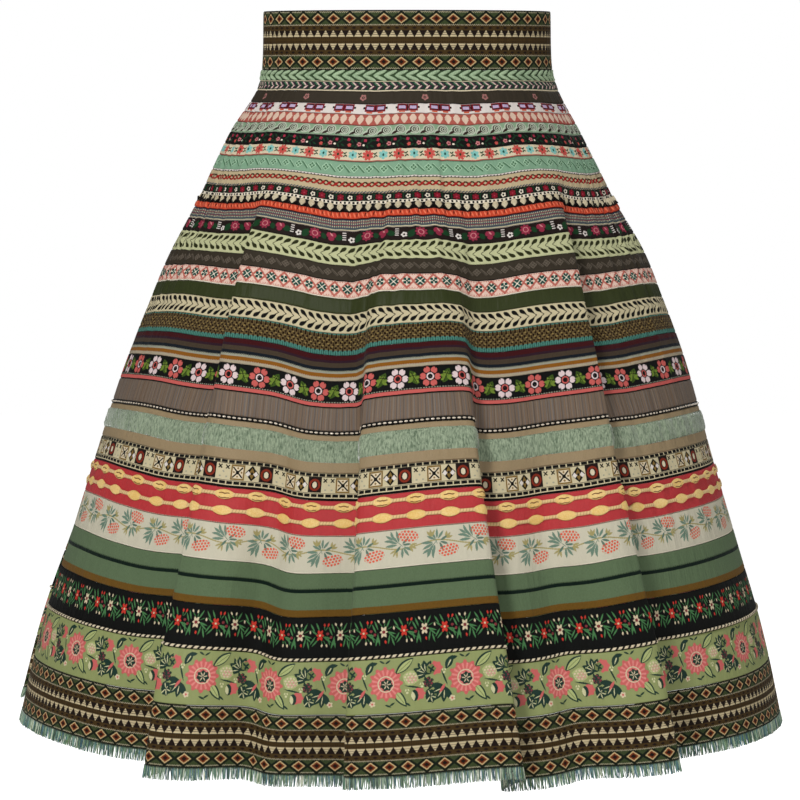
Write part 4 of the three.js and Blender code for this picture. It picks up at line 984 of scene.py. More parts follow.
# The shapes of woven marks. Each says how far inside the mark a point is, in mm, from its place x, y about
# the mark's middle and the mark's half length a and half height b.
def ellipse(x, y, a, b):
    """One less the length of (x over a, y over b), times the smaller half size."""
    return (1.0 - ((x / a) * (x / a) + (y / b) * (y / b)).math("SQRT")) * a.least(b)


def diamond(x, y, a, b):
    """One less |x| over a and |y| over b."""
    return (1.0 - abs(x) / a - abs(y) / b) * a.least(b)


def box(x, y, a, b):
    """The nearer of the two pairs of sides."""
    return (a - abs(x)).least(b - abs(y))


def triangle(x, y, a, b):
    """As wide as its height below the apex at the top, down to a flat foot."""
    return (a * (y + b) / (b * 2.0) - abs(x)).least(b - abs(y))


def leaf(x, y, a, b):
    """A height of b times one less the square of x over a."""
    return b * (1.0 - (x / a) * (x / a)) - abs(y)


def tear(x, y, a, b):
    """A leaf that is fat towards +x and drawn out to a point at -x."""
    t = (x / a) * 0.5 + 0.5
    return b * 2.2 * t * (1.0 - t * t * t) .most(-1.0) - abs(y)


def zigzag(x, y, a, b):
    """A line that runs up and down by b over a repeat of 4 a, thicker where b is larger."""
    wave = (abs(x) / a - 1.0) * b
    return b * 0.14 + 0.12 - abs(y - wave) * 0.75


def ring(x, y, a, b):
    """A round line of radius a and half thickness b."""
    return b - abs((x * x + y * y).math("SQRT") - a)


def petals(x, y, a, b):
    """A round flower of b petals: the radius swings with the root of the sine of the angle times b."""
    angle = y.math("ARCTAN2", x)
    swing = abs((angle * b * 0.5).sine()).math("SQRT")
    return a * (0.5 + swing * 0.5) - (x * x + y * y).math("SQRT")


def bloom(x, y, a, b):
    """A full flower with b pointed petals, each edge cut again by small teeth."""
    angle = y.math("ARCTAN2", x)
    point = 1.0 - abs((angle * b * 0.5).sine())
    teeth = abs((angle * b * 1.5).sine())
    return a * (0.75 + point * 0.2 + teeth * 0.05) - (x * x + y * y).math("SQRT")


def rays(x, y, a, b):
    """Fine lines that run out from the middle between radius b and radius a."""
    angle = y.math("ARCTAN2", x)
    radius = (x * x + y * y).math("SQRT")
    line = (angle * 17.0).sine() * 0.5 - 0.1
    return line.least(a - radius).least(radius - b)


def cross(x, y, a, b):
    """Two crossed strokes of reach a and half thickness b."""
    return (b - abs(abs(x) - abs(y)) * 0.7).least(a - abs(x).most(abs(y)))


def spiral(x, y, a, b):
    """A line that winds out from the middle to radius a, with b from turn to turn."""
    radius = (x * x + y * y).math("SQRT")
    angle = y.math("ARCTAN2", x) / FULL_TURN
    gap = abs((radius / b - angle).math("FRACT") - 0.5)
    return ((0.26 - abs(gap - 0.25) * 1.0) * b).least(a - radius)


def vine(x, y, a, b):
    """A thick sine stem of height b over a repeat of 4 a."""
    return 0.5 - abs(y - (x / a * QUARTER_TURN).sine() * b) * 0.9


def fern(x, y, a, b):
    """A stem of reach a with slanting leaflets on both sides, set 0.62 of b apart and pointed at b."""
    outer = abs(y) / b
    half = b * 0.31
    step = (x - abs(y) * 1.1).math("WRAP", half, half * -1.0)
    leaflet = (outer * (1.0 - outer) * 4.0).math("SQRT") * half * 0.74 - abs(step)
    taper = a * 0.95 - abs(x) - abs(y) * 0.45
    return leaflet.least(taper).most((0.2 - abs(y)).least(a - abs(x)))


def berries(x, y, a, b):
    """Round dots 2.9 mm apart in offset rows, as far as the edge of an ellipse."""
    row = (y / 2.4).math("FLOOR")
    shift = abs(row.math("MODULO", 2.0)) * 1.45
    dx = (x + shift).math("WRAP", 1.45, -1.45)
    dy = y - (row + 0.5) * 2.4
    dot = 1.02 - (dx * dx + dy * dy).math("SQRT")
    return dot.least(ellipse(x, y, a, b))


SHAPES = (
    ellipse, diamond, box, triangle, leaf, tear, zigzag, ring, petals, bloom, rays, cross, spiral, vine, fern,
    berries)
MARK_INPUTS = ("Along", "Down", "Pitch", "At", "Below", "Cosine", "Sine", "Long", "High")


def make_shape_groups():
    """One node group a shape. It wraps the length along the ribbon to one repeat about the mark, turns it,
    and puts out a mask that is 1 inside the mark, with a soft edge a tenth of a millimetre wide."""
    groups = {}
    for shape in SHAPES:
        tree, f, leave = new_group("Mark " + shape.__name__.replace("_", " "), MARK_INPUTS, ("Mask",))
        half = f["Pitch"] * 0.5
        x = (f["Along"] - f["At"]).math("WRAP", half, half * -1.0)
        y = f["Down"] - f["Below"]
        across = x * f["Cosine"] + y * f["Sine"]
        down = y * f["Cosine"] - x * f["Sine"]
        inside = shape(across, down, f["Long"], f["High"])
        put(tree, leave.inputs["Mask"], (inside * 7.0 + 0.5).clamp())
        groups[shape.__name__] = tree
    return groups


def make_thread_group():
    """Steps the length along and down to the middles of woven threads, so marks have a stepped edge, and
    sways them by a slow noise, as cloth fed by hand does."""
    tree, f, leave = new_group("Thread steps", ("Along", "Down", "Thread"), ("Along", "Down"))
    where = vector_of(tree, f["Along"] * 0.02, 0.0)
    sway = (noise(tree, where, 4.0, 1.0) - 0.5) * 0.8
    for label, part in (("Along", 1.0), ("Down", 0.35)):
        stepped = ((f[label] + sway * part) / f["Thread"]).math("FLOOR") * f["Thread"] + f["Thread"] * 0.5
        put(tree, leave.inputs[label], stepped)
    return tree


CLOTH_INPUTS = ("Colour", "Along", "Down", "Width", "Rib along", "Rib down", "Rib depth", "Fleck", "Relief")


def make_cloth_group():
    """Weave, slubs, sewn edges and small puckers. Height is in mm. The colour has painted shade between
    threads and at the sewn edges, painted light and shade on the puckers, varies a little from thread to
    thread, and is rubbed along the two edges."""
    tree, f, leave = new_group("Woven cloth", CLOTH_INPUTS, ("Colour", "Rough", "Height"))
    rib = ((f["Along"] / f["Rib along"] * FULL_TURN).sine() * 0.5 + 0.5)
    cross_rib = ((f["Down"] / f["Rib down"] * FULL_TURN).sine() * 0.5 + 0.5)
    weave = rib * cross_rib
    slub = noise(tree, vector_of(tree, f["Along"] * 0.9, f["Down"] * 3.4), 1.0, 3.0, 0.6)
    slub_up = noise(tree, vector_of(tree, f["Along"] * 3.0, f["Down"] * 0.5), 1.0, 2.0, 0.6)
    puckers = noise(tree, vector_of(tree, f["Along"] * 0.16, f["Down"] * 0.03), 1.0, 2.0, 0.5)
    edge = f["Down"].least(f["Width"] - f["Down"])
    seam = (1.0 - edge / 0.55).clamp()
    rubbed = ((1.0 - edge / 1.3).clamp() - seam) * (slub_up * 2.4 - 0.9).clamp()
    # Painted shade: the colour darkens where the weave sinks between threads and along the sewn edges; the
    # rubbed wear lightens just inside the edges.
    shade = 1.04 - (1.0 - weave) * 0.18 - seam * 0.42 + rubbed * 0.15
    shade = shade + (slub - 0.5) * f["Fleck"] * 1.2 + (slub_up - 0.5) * f["Fleck"] * 1.4
    # Painted light and shade on the puckers: the colour follows the same noise that raises them in the
    # height.
    shade = shade + (puckers - 0.5) * 0.1
    grey = vector_of(tree, shade, shade, shade)
    coloured = mix_colour(tree, 1.0, f["Colour"], grey, "MULTIPLY")
    put(tree, leave.inputs["Colour"], coloured)
    put(tree, leave.inputs["Rough"], (slub - 0.5) * 0.25 + seam * 0.1 + (1.0 - weave) * 0.08)
    height = weave * f["Rib depth"] + (slub + slub_up) * f["Fleck"] * 0.25
    height = height + f["Relief"] + (puckers - 0.5) * 1.3 - seam * 0.2
    put(tree, leave.inputs["Height"], height)
    return tree


# How each kind of cloth is finished: threads along and down in mm, height of the weave in mm, fleck of the
# colour, roughness, sheen and specular level.
FINISHES = {
    "jacquard": (0.62, 0.55, 0.05, 0.12, 0.72, 0.02, 0.16),
    "fine": (0.5, 0.45, 0.04, 0.09, 0.68, 0.02, 0.18),
    "ribbed": (0.95, 0.5, 0.12, 0.20, 0.5, 0.04, 0.32),
    "melange": (0.9, 0.9, 0.10, 0.5, 0.86, 0.04, 0.12),
    "satin": (0.35, 0.35, 0.015, 0.06, 0.5, 0.02, 0.18),
    "braid": (0.9, 0.9, 0.14, 0.20, 0.80, 0.04, 0.16),
    "knit": (1.2, 1.1, 0.22, 0.28, 0.86, 0.04, 0.14),
}


def ribbon_material(node, groups):
    """A ribbon's own material: its table's bands and marks in the ribbon's UV map, then the weave."""
    spec = PATTERNS[RIBBONS[node][3]]
    width = RIBBONS[node][0]
    finish = FINISHES[spec["finish"]]
    material = bpy.data.materials.new("ribbon_" + node)
    material.use_nodes = True
    tree = material.node_tree
    tree.nodes.clear()
    uv = tree.nodes.new("ShaderNodeUVMap")
    uv.uv_map = "Cloth"
    parts = tree.nodes.new("ShaderNodeSeparateXYZ")
    tree.links.new(uv.outputs[0], parts.inputs[0])
    along = Field(tree, parts.outputs[0])
    down = Field(tree, parts.outputs[1])
    threads = place_group(tree, groups["threads"], Along=along, Down=down, Thread=spec.get("thread", 0.42))
    step_along = Field(tree, threads.outputs["Along"])
    step_down = Field(tree, threads.outputs["Down"])
    ramp = tree.nodes.new("ShaderNodeValToRGB")
    ramp.color_ramp.interpolation = "CONSTANT"
    mirror = width / 2 if spec.get("mirror") else None
    folded = mirror - abs(step_down - mirror) if mirror else step_down
    put(tree, ramp.inputs[0], folded / width)
    bands = spec["bands"]
    stops = ramp.color_ramp.elements
    for i, (start, name) in enumerate(bands):
        element = stops[0] if i == 0 else stops.new(min(start / width, 1.0))
        element.color = linear(COLOURS[name])
    if len(bands) == 1:
        stops.remove(stops[1])
    else:
        spare = max(range(len(stops)), key=lambda k: stops[k].position)
        stops[spare].color = linear(COLOURS[bands[-1][1]])
    colour = ramp.outputs[0]
    relief = None
    for shape, pitch, at, below, long, high, turn, name, raised in spec["marks"]:
        spot = place_group(
            tree, groups[shape], Along=step_along, Down=folded, Pitch=pitch, At=at, Below=below,
            Cosine=math.cos(math.radians(turn)), Sine=math.sin(math.radians(turn)), Long=long, High=high)
        mask = Field(tree, spot.outputs["Mask"])
        colour = mix_colour(tree, mask, colour, linear(COLOURS[name]))
        if raised:
            relief = mask * raised if relief is None else mask.math("MULTIPLY_ADD", raised, relief)
    cloth = place_group(
        tree, groups["cloth"], Colour=colour, Along=along, Down=down, Width=width, Rib_along=finish[0],
        Rib_down=finish[1], Rib_depth=finish[2], Fleck=finish[3], Relief=0.0 if relief is None else relief)
    finish_material(tree, cloth, finish)
    return material


def finish_material(tree, cloth, finish):
    """Adds the shader: woven colour, roughness about the finish's own, and a bump of the height in mm."""
    shader = tree.nodes.new("ShaderNodeBsdfPrincipled")
    put(tree, shader.inputs["Base Color"], cloth.outputs["Colour"])
    rough = Field(tree, cloth.outputs["Rough"]) + finish[4]
    put(tree, shader.inputs["Roughness"], rough.clamp())
    shader.inputs["Sheen Weight"].default_value = finish[5]
    shader.inputs["Sheen Roughness"].default_value = 0.45
    shader.inputs["Specular IOR Level"].default_value = finish[6]
    bump = tree.nodes.new("ShaderNodeBump")
    bump.inputs["Strength"].default_value = 1.0
    bump.inputs["Distance"].default_value = MM
    put(tree, bump.inputs["Height"], cloth.outputs["Height"])
    put(tree, shader.inputs["Normal"], bump.outputs[0])
    end = tree.nodes.new("ShaderNodeOutputMaterial")
    tree.links.new(shader.outputs[0], end.inputs[0])


def plain_material(name, colours, finish_name, pattern=None):
    """A trim's material: two colours mixed by thread-like noise in the trim's own place, then the weave."""
    finish = FINISHES[finish_name]
    material = bpy.data.materials.new(name)
    material.use_nodes = True
    tree = material.node_tree
    tree.nodes.clear()
    where = tree.nodes.new("ShaderNodeTexCoord")
    fine = noise(tree, where.outputs["Object"], 900.0, 3.0, 0.6)
    broad = noise(tree, where.outputs["Object"], 40.0, 2.0, 0.5)
    share = ((fine - 0.5) * 2.2 + (broad - 0.5) * 1.2 + 0.5).clamp()
    colour = mix_colour(tree, share, linear(colours[0]), linear(colours[1]))
    if pattern:
        colour = pattern(tree, colour)
    shader = tree.nodes.new("ShaderNodeBsdfPrincipled")
    put(tree, shader.inputs["Base Color"], colour)
    put(tree, shader.inputs["Roughness"], ((fine - 0.5) * 0.3 + finish[4]).clamp())
    shader.inputs["Sheen Weight"].default_value = finish[5]
    shader.inputs["Sheen Roughness"].default_value = 0.4
    shader.inputs["Specular IOR Level"].default_value = finish[6]
    bump = tree.nodes.new("ShaderNodeBump")
    bump.inputs["Distance"].default_value = 0.25 * MM
    put(tree, bump.inputs["Height"], fine)
    put(tree, shader.inputs["Normal"], bump.outputs[0])
    end = tree.nodes.new("ShaderNodeOutputMaterial")
    tree.links.new(shader.outputs[0], end.inputs[0])
    return material


MADE = {"ribbons": {}, "pieces": {}, "groups": {}}


def settle(piece, material):
    """Gives a piece its material and slot and lets it ride on the skirt."""
    piece.data.materials.append(material)
    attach(piece, "root")
    return piece


KEY_POWER = 94.0


class SkirtSettings(bpy.types.PropertyGroup):
    """Sizes and colours that a user would change."""

    thickness: bpy.props.FloatProperty(
        name="Cloth thickness", description="From face to back of each ribbon", default=0.0009,
        min=0.0004, max=0.0012, unit="LENGTH")
    braid_rise: bpy.props.FloatProperty(
        name="Braid rise", description="How plump the plaited braid stands on the cloth", default=0.0013,
        min=0.0005, max=0.003, unit="LENGTH")
    bead_size: bpy.props.FloatProperty(
        name="Bead length", description="Length of the small pale beads", default=0.0032,
        min=0.001, max=0.004, unit="LENGTH")
    fringe_strands: bpy.props.IntProperty(
        name="Fringe strands", description="Yarn ends round the hem", default=4300, min=500, max=6000)
    cord_colour: bpy.props.FloatVectorProperty(
        name="Cord colour", description="Yellow of the looped cords", subtype="COLOR",
        default=linear("#e6ce9a")[:3], min=0.0, max=1.0)
    floor_drop: bpy.props.FloatProperty(
        name="Floor below the waist", description="How far under the waist seam the floor lies",
        default=1.05, min=0.65, max=2.0, unit="LENGTH")
    key_power: bpy.props.FloatProperty(
        name="Key light", description="Power of the soft light from the front left", default=KEY_POWER,
        min=0.0, max=500.0, unit="POWER")


def settings():
    return bpy.context.scene.skirt_settings


class SKIRT_OT_ribbons(bpy.types.Operator):
    """Makes the waistband and the ribbon rings as thin shells with their woven patterns"""

    bl_idname = "skirt.ribbons"
    bl_label = "Ribbon rings"

    def execute(self, context):
        MADE["groups"] = make_shape_groups()
        MADE["groups"]["threads"] = make_thread_group()
        MADE["groups"]["cloth"] = make_cloth_group()
        top = -WAISTBAND_HEIGHT
        for node, (width, slot, form, _, repeat) in RIBBONS.items():
            ribbon = Ribbon(top, width, repeat)
            profile = FORMS[form](width)
            piece = make_shell(ribbon, "cloth_" + node, profile, settings().thickness / MM)
            settle(piece, ribbon_material(node, MADE["groups"]))
            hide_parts(node)
            MADE["ribbons"][node] = ribbon
            MADE["pieces"][node] = [piece]
            top += width
        return {"FINISHED"}


FORMS = {
    "flat": flat_profile,
    "cord": cord_profile,
    "plump": lambda width: cord_profile(width, 0.9),
}


class SKIRT_OT_braids(bpy.types.Operator):
    """Makes the plaited sage braid of the first ribbon and the twisted rope under the daisies"""

    bl_idname = "skirt.braids"
    bl_label = "Braid and rope"

    def execute(self, context):
        ribbon = MADE["ribbons"]["tier_01_sage_braid"]
        pitch = ribbon.whole / round(ribbon.whole / 9.3)
        along = np.arange(0, ribbon.whole - 0.1, pitch)
        rise = settings().braid_rise / MM
        middle = ribbon.height / 2
        rows = np.repeat((middle - 2.1, middle + 2.1), len(along))
        turns = np.repeat((-0.40, 0.40), len(along))
        points, groups, _ = lumps(
            ribbon, np.concatenate((along, along)), rows, out=0.15, half_long=6.3, half_wide=1.62,
            half_high=rise, turn=turns, around=10, rings=6)
        braid = build_mesh("sage_plait", points, groups)
        colours = ("#8fa287", "#b3c4a6")
        settle(braid, plain_material("sage_plait", colours, "knit"))
        MADE["pieces"]["tier_01_sage_braid"].append(braid)
        ribbon = MADE["ribbons"]["tier_30_black_daisies"]
        steps = int(ribbon.whole / 3.4)
        along = np.arange(steps)[None] * ribbon.whole / steps
        points, groups, uv, _ = tubes(
            ribbon, along, down=36.6, out=0.7, radius=1.25, sides=8, closed=True)
        rope = build_mesh("twisted_rope", points, groups, uv)
        colours = ("#c9bba0", "#e0d6bf")
        settle(rope, plain_material("twisted_rope", colours, "braid", rope_twist))
        MADE["pieces"]["tier_30_black_daisies"].append(rope)
        return {"FINISHED"}


def rope_twist(tree, colour):
    """Black strands that wind round the pale rope: the length along, plus one repeat a turn round."""
    return twist_pattern(tree, colour, "#191612", 5.0, 0.42)


def twist_pattern(tree, colour, dark, pitch, share):
    """Slanting strands of a darker colour, from the length along and the turn round in the UV map."""
    uv = tree.nodes.new("ShaderNodeUVMap")
    uv.uv_map = "Cloth"
    parts = tree.nodes.new("ShaderNodeSeparateXYZ")
    tree.links.new(uv.outputs[0], parts.inputs[0])
    phase = (Field(tree, parts.outputs[0]) / pitch + Field(tree, parts.outputs[1])).math("FRACT")
    mask = ((share / 2 - abs(phase - 0.5)) * 9.0 + 0.5).clamp()
    return mix_colour(tree, mask, colour, linear(dark))


class SKIRT_OT_scallops(bpy.types.Operator):
    """Makes the cream loops of the scalloped trim and the dark cord that runs round them"""

    bl_idname = "skirt.scallops"
    bl_label = "Scallops"

    def execute(self, context):
        ribbon = MADE["ribbons"]["tier_11_scallop_trim"]
        pitch = ribbon.whole / round(ribbon.whole / 8.4)
        along = np.arange(0, ribbon.whole - 0.1, pitch)
        lean = np.random.default_rng(4).normal(0, 0.09, len(along))
        points, groups, _ = lumps(
            ribbon, along, down=13.2, out=0.75, half_long=3.9, half_wide=2.95, half_high=0.95,
            turn=math.pi / 2 + lean, around=10, rings=6)
        loops = build_mesh("cream_loops", points, groups)
        settle(loops, plain_material("cream_loops", ("#b3a78c", "#d6ccb4"), "knit"))
        steps = len(along) * 8
        round_it = np.arange(steps)[None] * ribbon.whole / steps
        swing = 15.6 + 1.75 * np.cos(round_it / pitch * 2 * math.pi)
        points, groups, uv, _ = tubes(
            ribbon, round_it, swing, out=1.35, radius=0.72, sides=6, closed=True)
        edge = build_mesh("scallop_cord", points, groups, uv)
        settle(edge, plain_material("scallop_cord", ("#15110f", "#2e2622"), "braid"))
        MADE["pieces"]["tier_11_scallop_trim"] += [loops, edge]
        return {"FINISHED"}


class SKIRT_OT_beads(bpy.types.Operator):
    """Makes the small pale beads along the black edge"""

    bl_idname = "skirt.beads"
    bl_label = "Beads"

    def execute(self, context):
        ribbon = MADE["ribbons"]["tier_24_bead_edge"]
        pitch = ribbon.whole / round(ribbon.whole / 4.45)
        along = np.arange(0, ribbon.whole - 0.1, pitch)
        half = settings().bead_size / MM / 2
        points, groups, _ = lumps(
            ribbon, along, down=1.85, out=0.55, half_long=half, half_wide=0.85, half_high=0.75, turn=0.0,
            around=8, rings=5)
        beads = build_mesh("pale_beads", points, groups)
        material = bpy.data.materials.new("pale_beads")
        material.use_nodes = True
        tree = material.node_tree
        shader = tree.nodes["Principled BSDF"]
        where = tree.nodes.new("ShaderNodeTexCoord")
        cloudy = noise(tree, where.outputs["Object"], 260.0, 2.0)
        colour = mix_colour(tree, (cloudy * 2.0 - 0.5).clamp(), linear("#a79a88"), linear("#e6dccd"))
        put(tree, shader.inputs["Base Color"], colour)
        put(tree, shader.inputs["Roughness"], cloudy * 0.3 + 0.08)
        shader.inputs["Coat Weight"].default_value = 0.6
        settle(beads, material)
        MADE["pieces"]["tier_24_bead_edge"].append(beads)
        return {"FINISHED"}


class SKIRT_OT_cords(bpy.types.Operator):
    """Makes the two yellow cords with their flat loops on the red ribbon"""

    bl_idname = "skirt.cords"
    bl_label = "Looped cords"

    def execute(self, context):
        ribbon = MADE["ribbons"]["tier_27_red_cords"]
        pitch = ribbon.whole / round(ribbon.whole / 27.9)
        steps = int(ribbon.whole / 1.45)
        along = np.arange(steps)[None] * ribbon.whole / steps
        near = ((along + pitch / 2) % pitch - pitch / 2) / 8.2
        bulge = np.clip(1 - near**2, 0, 1)
        half = 1.55 + 2.6 * bulge
        for number, (down, mark) in enumerate(((5.8, 1.0), (19.1, 0.0))):
            points, groups, uv, _ = tubes(
                ribbon, along, down, out=0.75, radius=half, sides=10, closed=True,
                flat=(1.15 - 0.35 * bulge) / half)
            cord = build_mesh(f"yellow_cord_{number + 1}", points, groups, uv)
            settle(cord, cord_material(f"yellow_cord_{number + 1}", pitch, mark))
            MADE["pieces"]["tier_27_red_cords"].append(cord)
        return {"FINISHED"}


def cord_material(name, pitch, mark):
    """Yellow cord: paler and twisted between the loops, with painted shade in the twist's grooves there, and
    two slits of painted shade in each open loop where its strands part.
    """
    def pattern(tree, colour):
        uv = tree.nodes.new("ShaderNodeUVMap")
        uv.uv_map = "Cloth"
        parts = tree.nodes.new("ShaderNodeSeparateXYZ")
        tree.links.new(uv.outputs[0], parts.inputs[0])
        u = Field(tree, parts.outputs[0])
        turn = Field(tree, parts.outputs[1])
        near = abs(u.math("WRAP", pitch / 2, -pitch / 2))
        thin = ((near - 7.4) * 0.8 + 0.5).clamp()
        colour = mix_colour(tree, thin, colour, linear("#d9bf93"))
        # Painted shade in the grooves between the twisted strands.
        phase = abs((u / 2.6 + turn * 1.0).math("FRACT") - 0.5)
        groove_shade = ((phase - 0.36) * 7.0).clamp() * thin
        colour = mix_colour(tree, groove_shade * 0.75, colour, linear("#8f6c3c"))
        if mark:
            # Painted shade: two dark red-brown slits where the open loop's strands part.
            wander = (u * 1.1).sine() * 0.012
            gap_shade = (0.026 - abs(abs(turn - 0.5) - 0.085 + wander)) * 90.0
            mask = gap_shade.clamp() * ((4.8 - near) * 1.5).clamp()
            colour = mix_colour(tree, mask * 0.9, colour, linear("#6b3a22"))
        return colour

    yellow = settings().cord_colour
    material = plain_material(name, ("#d9b76e", "#ecd08f"), "braid", pattern)
    for node in material.node_tree.nodes:
        if node.type == "MIX" and not node.inputs[6].is_linked and not node.inputs[7].is_linked:
            node.inputs[7].default_value = (*yellow, 1.0)
    return material


class SKIRT_OT_plush(bpy.types.Operator):
    """Makes the napped sage band that lies on the beige ribbon"""

    bl_idname = "skirt.plush"
    bl_label = "Plush band"

    def execute(self, context):
        ribbon = MADE["ribbons"]["tier_25_sage_plush"]
        rng = np.random.default_rng(11)
        rows = np.linspace(4.6, 22.7, 17)
        columns = 1500
        along = np.arange(columns) * ribbon.whole / columns
        grid = np.broadcast_to(along, (len(rows), columns))
        rise = 1.35 * np.clip(1 - ((rows - rows.mean()) / (rows.mean() - rows[0])) ** 6, 0, 1) + 0.15
        fuzz = rng.normal(0, 1, grid.shape)
        fuzz = (fuzz + np.roll(fuzz, 1, 0) + np.roll(fuzz, 1, 1) * 0.4) / 2.2
        fuzz[0] = fuzz[-1] = 0
        face = ribbon.point(grid, rows[:, None] + 0.12 * fuzz, rise[:, None] + 0.3 * fuzz)
        back_rows = np.linspace(22.6, 4.7, 3)
        back = ribbon.point(np.broadcast_to(along, (3, columns)), back_rows[:, None], 0.24)
        points = np.concatenate((face, back))
        band = build_mesh("sage_plush", points.reshape(-1, 3), [grid_faces(len(rows) + 3, columns)])
        settle(band, plush_material())
        MADE["pieces"]["tier_25_sage_plush"].append(band)
        return {"FINISHED"}


def plush_material():
    """Chenille in short upright streaks, with a strong sheen: the colour follows the noise that makes the
    bump, so painted light makes the tips pale and painted shade makes the roots darker.
    """
    material = bpy.data.materials.new("sage_plush")
    material.use_nodes = True
    tree = material.node_tree
    shader = tree.nodes["Principled BSDF"]
    where = tree.nodes.new("ShaderNodeTexCoord")
    stretch = tree.nodes.new("ShaderNodeMapping")
    stretch.inputs["Scale"].default_value = (1.0, 1.0, 0.16)
    tree.links.new(where.outputs["Object"], stretch.inputs[0])
    tufts = noise(tree, stretch.outputs[0], 800.0, 2.0, 0.6)
    patches = noise(tree, stretch.outputs[0], 60.0, 2.0, 0.5)
    # Painted light and shade: the tufts noise also drives the bump, so raised pile is painted paler and low
    # pile darker; the broad patches vary the tone.
    share = ((tufts - 0.5) * 3.0 + (patches - 0.5) * 0.5 + 0.6).clamp()
    colour = mix_colour(tree, share, linear("#6b7a66"), linear("#a3ae98"))
    put(tree, shader.inputs["Base Color"], colour)
    put(tree, shader.inputs["Roughness"], ((tufts - 0.5) * 0.2 + 0.9).clamp())
    shader.inputs["Sheen Weight"].default_value = 0.8
    shader.inputs["Sheen Roughness"].default_value = 0.35
    shader.inputs["Specular IOR Level"].default_value = 0.15
    bump = tree.nodes.new("ShaderNodeBump")
    bump.inputs["Distance"].default_value = 0.8 * MM
    put(tree, bump.inputs["Height"], tufts)
    put(tree, shader.inputs["Normal"], bump.outputs[0])
    return material


class SKIRT_OT_fringe(bpy.types.Operator):
    """Makes the short yarn fringe and the narrow heading that it hangs from"""

    bl_idname = "skirt.fringe"
    bl_label = "Fringe"

    def execute(self, context):
        ribbon = MADE["ribbons"]["tier_32_hem_ribbon"]
        rng = np.random.default_rng(7)
        count = settings().fringe_strands
        fall = np.linspace(0, 1, 5)[None]
        along = (np.arange(count) + rng.uniform(-0.3, 0.3, count))[:, None] * ribbon.whole / count
        lean = rng.normal(0, 0.75, count)[:, None]
        bend = rng.normal(0, 0.3, count)[:, None]
        layer = (np.arange(count) % 2)[:, None]
        length = 10.3 + rng.normal(0, 0.35, count)[:, None] - 0.25 * layer
        out = -0.15 - 0.6 * layer + fall * rng.uniform(-0.5, 0.7, count)[:, None]
        path = along + lean * fall**1.3 + bend * np.sin(fall * math.pi)
        thick = 0.56 * (1 - 0.4 * fall**2) + 0 * along
        points, groups, uv, strand = tubes(
            ribbon, path, down=50.85 + length * fall, out=out, radius=thick, sides=3)
        tint = rng.uniform(0, 1, count)[strand]
        fringe = build_mesh("hem_fringe", points, groups, uv, tint)
        settle(fringe, fringe_material())
        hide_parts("fringe")
        steps = 700
        path = np.arange(steps)[None] * ribbon.whole / steps
        points, groups, uv, _ = tubes(
            ribbon, path, down=51.1, out=-0.35, radius=0.62, sides=6, closed=True, flat=0.9)
        heading = build_mesh("fringe_heading", points, groups, uv)
        settle(heading, plain_material("fringe_heading", ("#2b3328", "#4d5a48"), "braid"))
        MADE["pieces"]["tier_32_hem_ribbon"] += [fringe, heading]
        return {"FINISHED"}


def fringe_material():
    """Yarn ends in greens, blues, greys and cream: each strand's own number picks its colour."""
    material = bpy.data.materials.new("fringe_yarn")
    material.use_nodes = True
    tree = material.node_tree
    shader = tree.nodes["Principled BSDF"]
    own = tree.nodes.new("ShaderNodeAttribute")
    own.attribute_name = "tint"
    ramp = tree.nodes.new("ShaderNodeValToRGB")
    ramp.color_ramp.interpolation = "CONSTANT"
    shades = (
        "#728a72", "#93ab97", "#5a7060", "#adbda8", "#6f929b", "#86a07c", "#cfd2c0", "#5a7680", "#7b9a86")
    for i, shade in enumerate(shades):
        elements = ramp.color_ramp.elements
        element = elements[i] if i < 2 else elements.new(i / len(shades))
        element.position = i / len(shades)
        element.color = linear(shade)
    tree.links.new(own.outputs["Fac"], ramp.inputs[0])
    where = tree.nodes.new("ShaderNodeTexCoord")
    fibre = noise(tree, where.outputs["Object"], 1100.0, 3.0, 0.6)
    shade = fibre * 0.9 + 0.55
    colour = mix_colour(tree, 1.0, ramp.outputs[0], vector_of(tree, shade, shade, shade), "MULTIPLY")
    put(tree, shader.inputs["Base Color"], colour)
    put(tree, shader.inputs["Roughness"], fibre * 0.2 + 0.75)
    shader.inputs["Sheen Weight"].default_value = 0.3
    shader.inputs["Specular IOR Level"].default_value = 0.2
    return material


# The studio: how much light the white world gives, the glow of the floor as the camera sees it, each
# light's place, width in m and power in W, and the camera that the photo's view asks for.
WORLD_LIGHT = 0.145
FLOOR_GLOW = 0.9
LIGHTS = (
    ("key", (-1.35, -2.75, 1.75), 0.7, KEY_POWER),
    ("fill", (2.8, -2.0, 0.6), 1.6, 30.0),
    ("back", (0.6, 2.6, 1.8), 2.0, 40.0),
)
AIM = (0.0, 0.0, -0.28)
CAMERA_PLACE = (-0.0056, -3.3, -0.003)
CAMERA_TILT = 84.96
CAMERA_LENS = 166.5


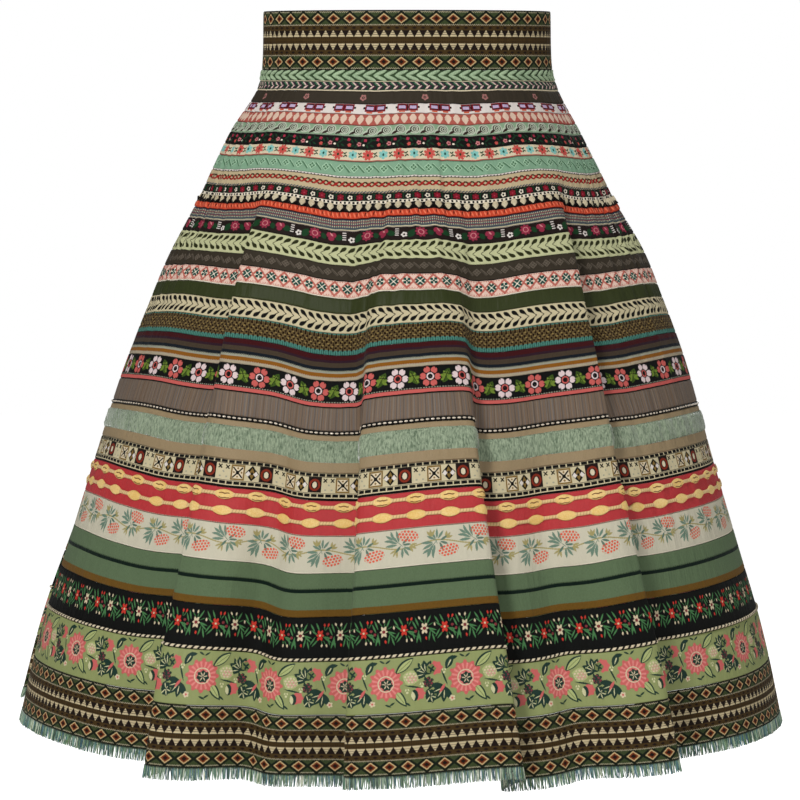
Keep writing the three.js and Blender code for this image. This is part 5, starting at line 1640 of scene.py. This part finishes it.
class SKIRT_OT_stage(bpy.types.Operator):
    """Adds the pale floor, the soft studio lights, the white world and the camera"""

    bl_idname = "skirt.stage"
    bl_label = "Stage"

    def execute(self, context):
        scene = context.scene
        drop = settings().floor_drop
        floor_mesh = bpy.data.meshes.new("floor")
        floor_mesh.from_pydata(
            [(-8, -8, -drop), (8, -8, -drop), (8, 8, -drop), (-8, 8, -drop)], [], [(0, 1, 2, 3)])
        floor = bpy.data.objects.new("floor", floor_mesh)
        scene.collection.objects.link(floor)
        paper = bpy.data.materials.new("pale_floor")
        paper.use_nodes = True
        shader = paper.node_tree.nodes["Principled BSDF"]
        shader.inputs["Base Color"].default_value = (0.92, 0.92, 0.91, 1)
        shader.inputs["Roughness"].default_value = 0.95
        shader.inputs["Specular IOR Level"].default_value = 0.1
        shader.inputs["Emission Color"].default_value = (1, 1, 1, 1)
        tree = paper.node_tree
        seen = Field(tree, tree.nodes.new("ShaderNodeLightPath").outputs["Is Camera Ray"])
        put(tree, shader.inputs["Emission Strength"], seen * FLOOR_GLOW)
        floor.data.materials.append(paper)
        world = bpy.data.worlds.new("studio")
        world.use_nodes = True
        tree = world.node_tree
        tree.nodes["Background"].inputs["Color"].default_value = (1, 1, 1, 1)
        paths = tree.nodes.new("ShaderNodeLightPath")
        seen = Field(tree, paths.outputs["Is Camera Ray"])
        put(tree, tree.nodes["Background"].inputs["Strength"], seen * (1.0 - WORLD_LIGHT) + WORLD_LIGHT)
        scene.world = world
        for name, place, size, power in LIGHTS:
            lamp = bpy.data.lights.new(name, "AREA")
            lamp.shape = "DISK"
            lamp.size = size
            lamp.energy = power * (settings().key_power / KEY_POWER if name == "key" else 1.0)
            light = bpy.data.objects.new(name, lamp)
            scene.collection.objects.link(light)
            light.location = place
            aim = np.array(AIM) - np.array(place)
            flat = math.hypot(aim[0], aim[1])
            light.rotation_euler = (math.pi / 2 + math.atan2(aim[2], flat), 0, math.atan2(-aim[0], aim[1]))
        lens = bpy.data.cameras.new("camera")
        lens.sensor_width = 36.0
        lens.lens = CAMERA_LENS
        lens.clip_end = 40.0
        camera = bpy.data.objects.new("camera", lens)
        scene.collection.objects.link(camera)
        camera.location = CAMERA_PLACE
        camera.rotation_euler = (math.radians(CAMERA_TILT), 0, 0)
        scene.camera = camera
        scene.view_settings.view_transform = "Standard"
        scene.view_settings.look = "None"
        return {"FINISHED"}


class SKIRT_PT_panel(bpy.types.Panel):
    """Lists the skirt's sizes and the operators that make it"""

    bl_idname = "SKIRT_PT_panel"
    bl_label = "Tiered ribbon skirt"
    bl_space_type = "VIEW_3D"
    bl_region_type = "UI"
    bl_category = "Skirt"

    def draw(self, context):
        column = self.layout.column()
        for name in SkirtSettings.__annotations__:
            column.prop(context.scene.skirt_settings, name)
        for operator in OPERATORS:
            column.operator(operator.bl_idname)


OPERATORS = (
    SKIRT_OT_ribbons,
    SKIRT_OT_braids,
    SKIRT_OT_scallops,
    SKIRT_OT_beads,
    SKIRT_OT_cords,
    SKIRT_OT_plush,
    SKIRT_OT_fringe,
    SKIRT_OT_stage,
)


def register():
    for item in (SkirtSettings, *OPERATORS, SKIRT_PT_panel):
        bpy.utils.register_class(item)
    bpy.types.Scene.skirt_settings = bpy.props.PointerProperty(type=SkirtSettings)


def unregister():
    del bpy.types.Scene.skirt_settings
    for item in (SKIRT_PT_panel, *reversed(OPERATORS), SkirtSettings):
        bpy.utils.unregister_class(item)


def main():
    register()
    for name in ("ribbons", "braids", "scallops", "beads", "cords", "plush", "fringe", "stage"):
        getattr(bpy.ops.skirt, name)()
    bpy.context.view_layer.update()


if __name__ == "__main__":
    main()
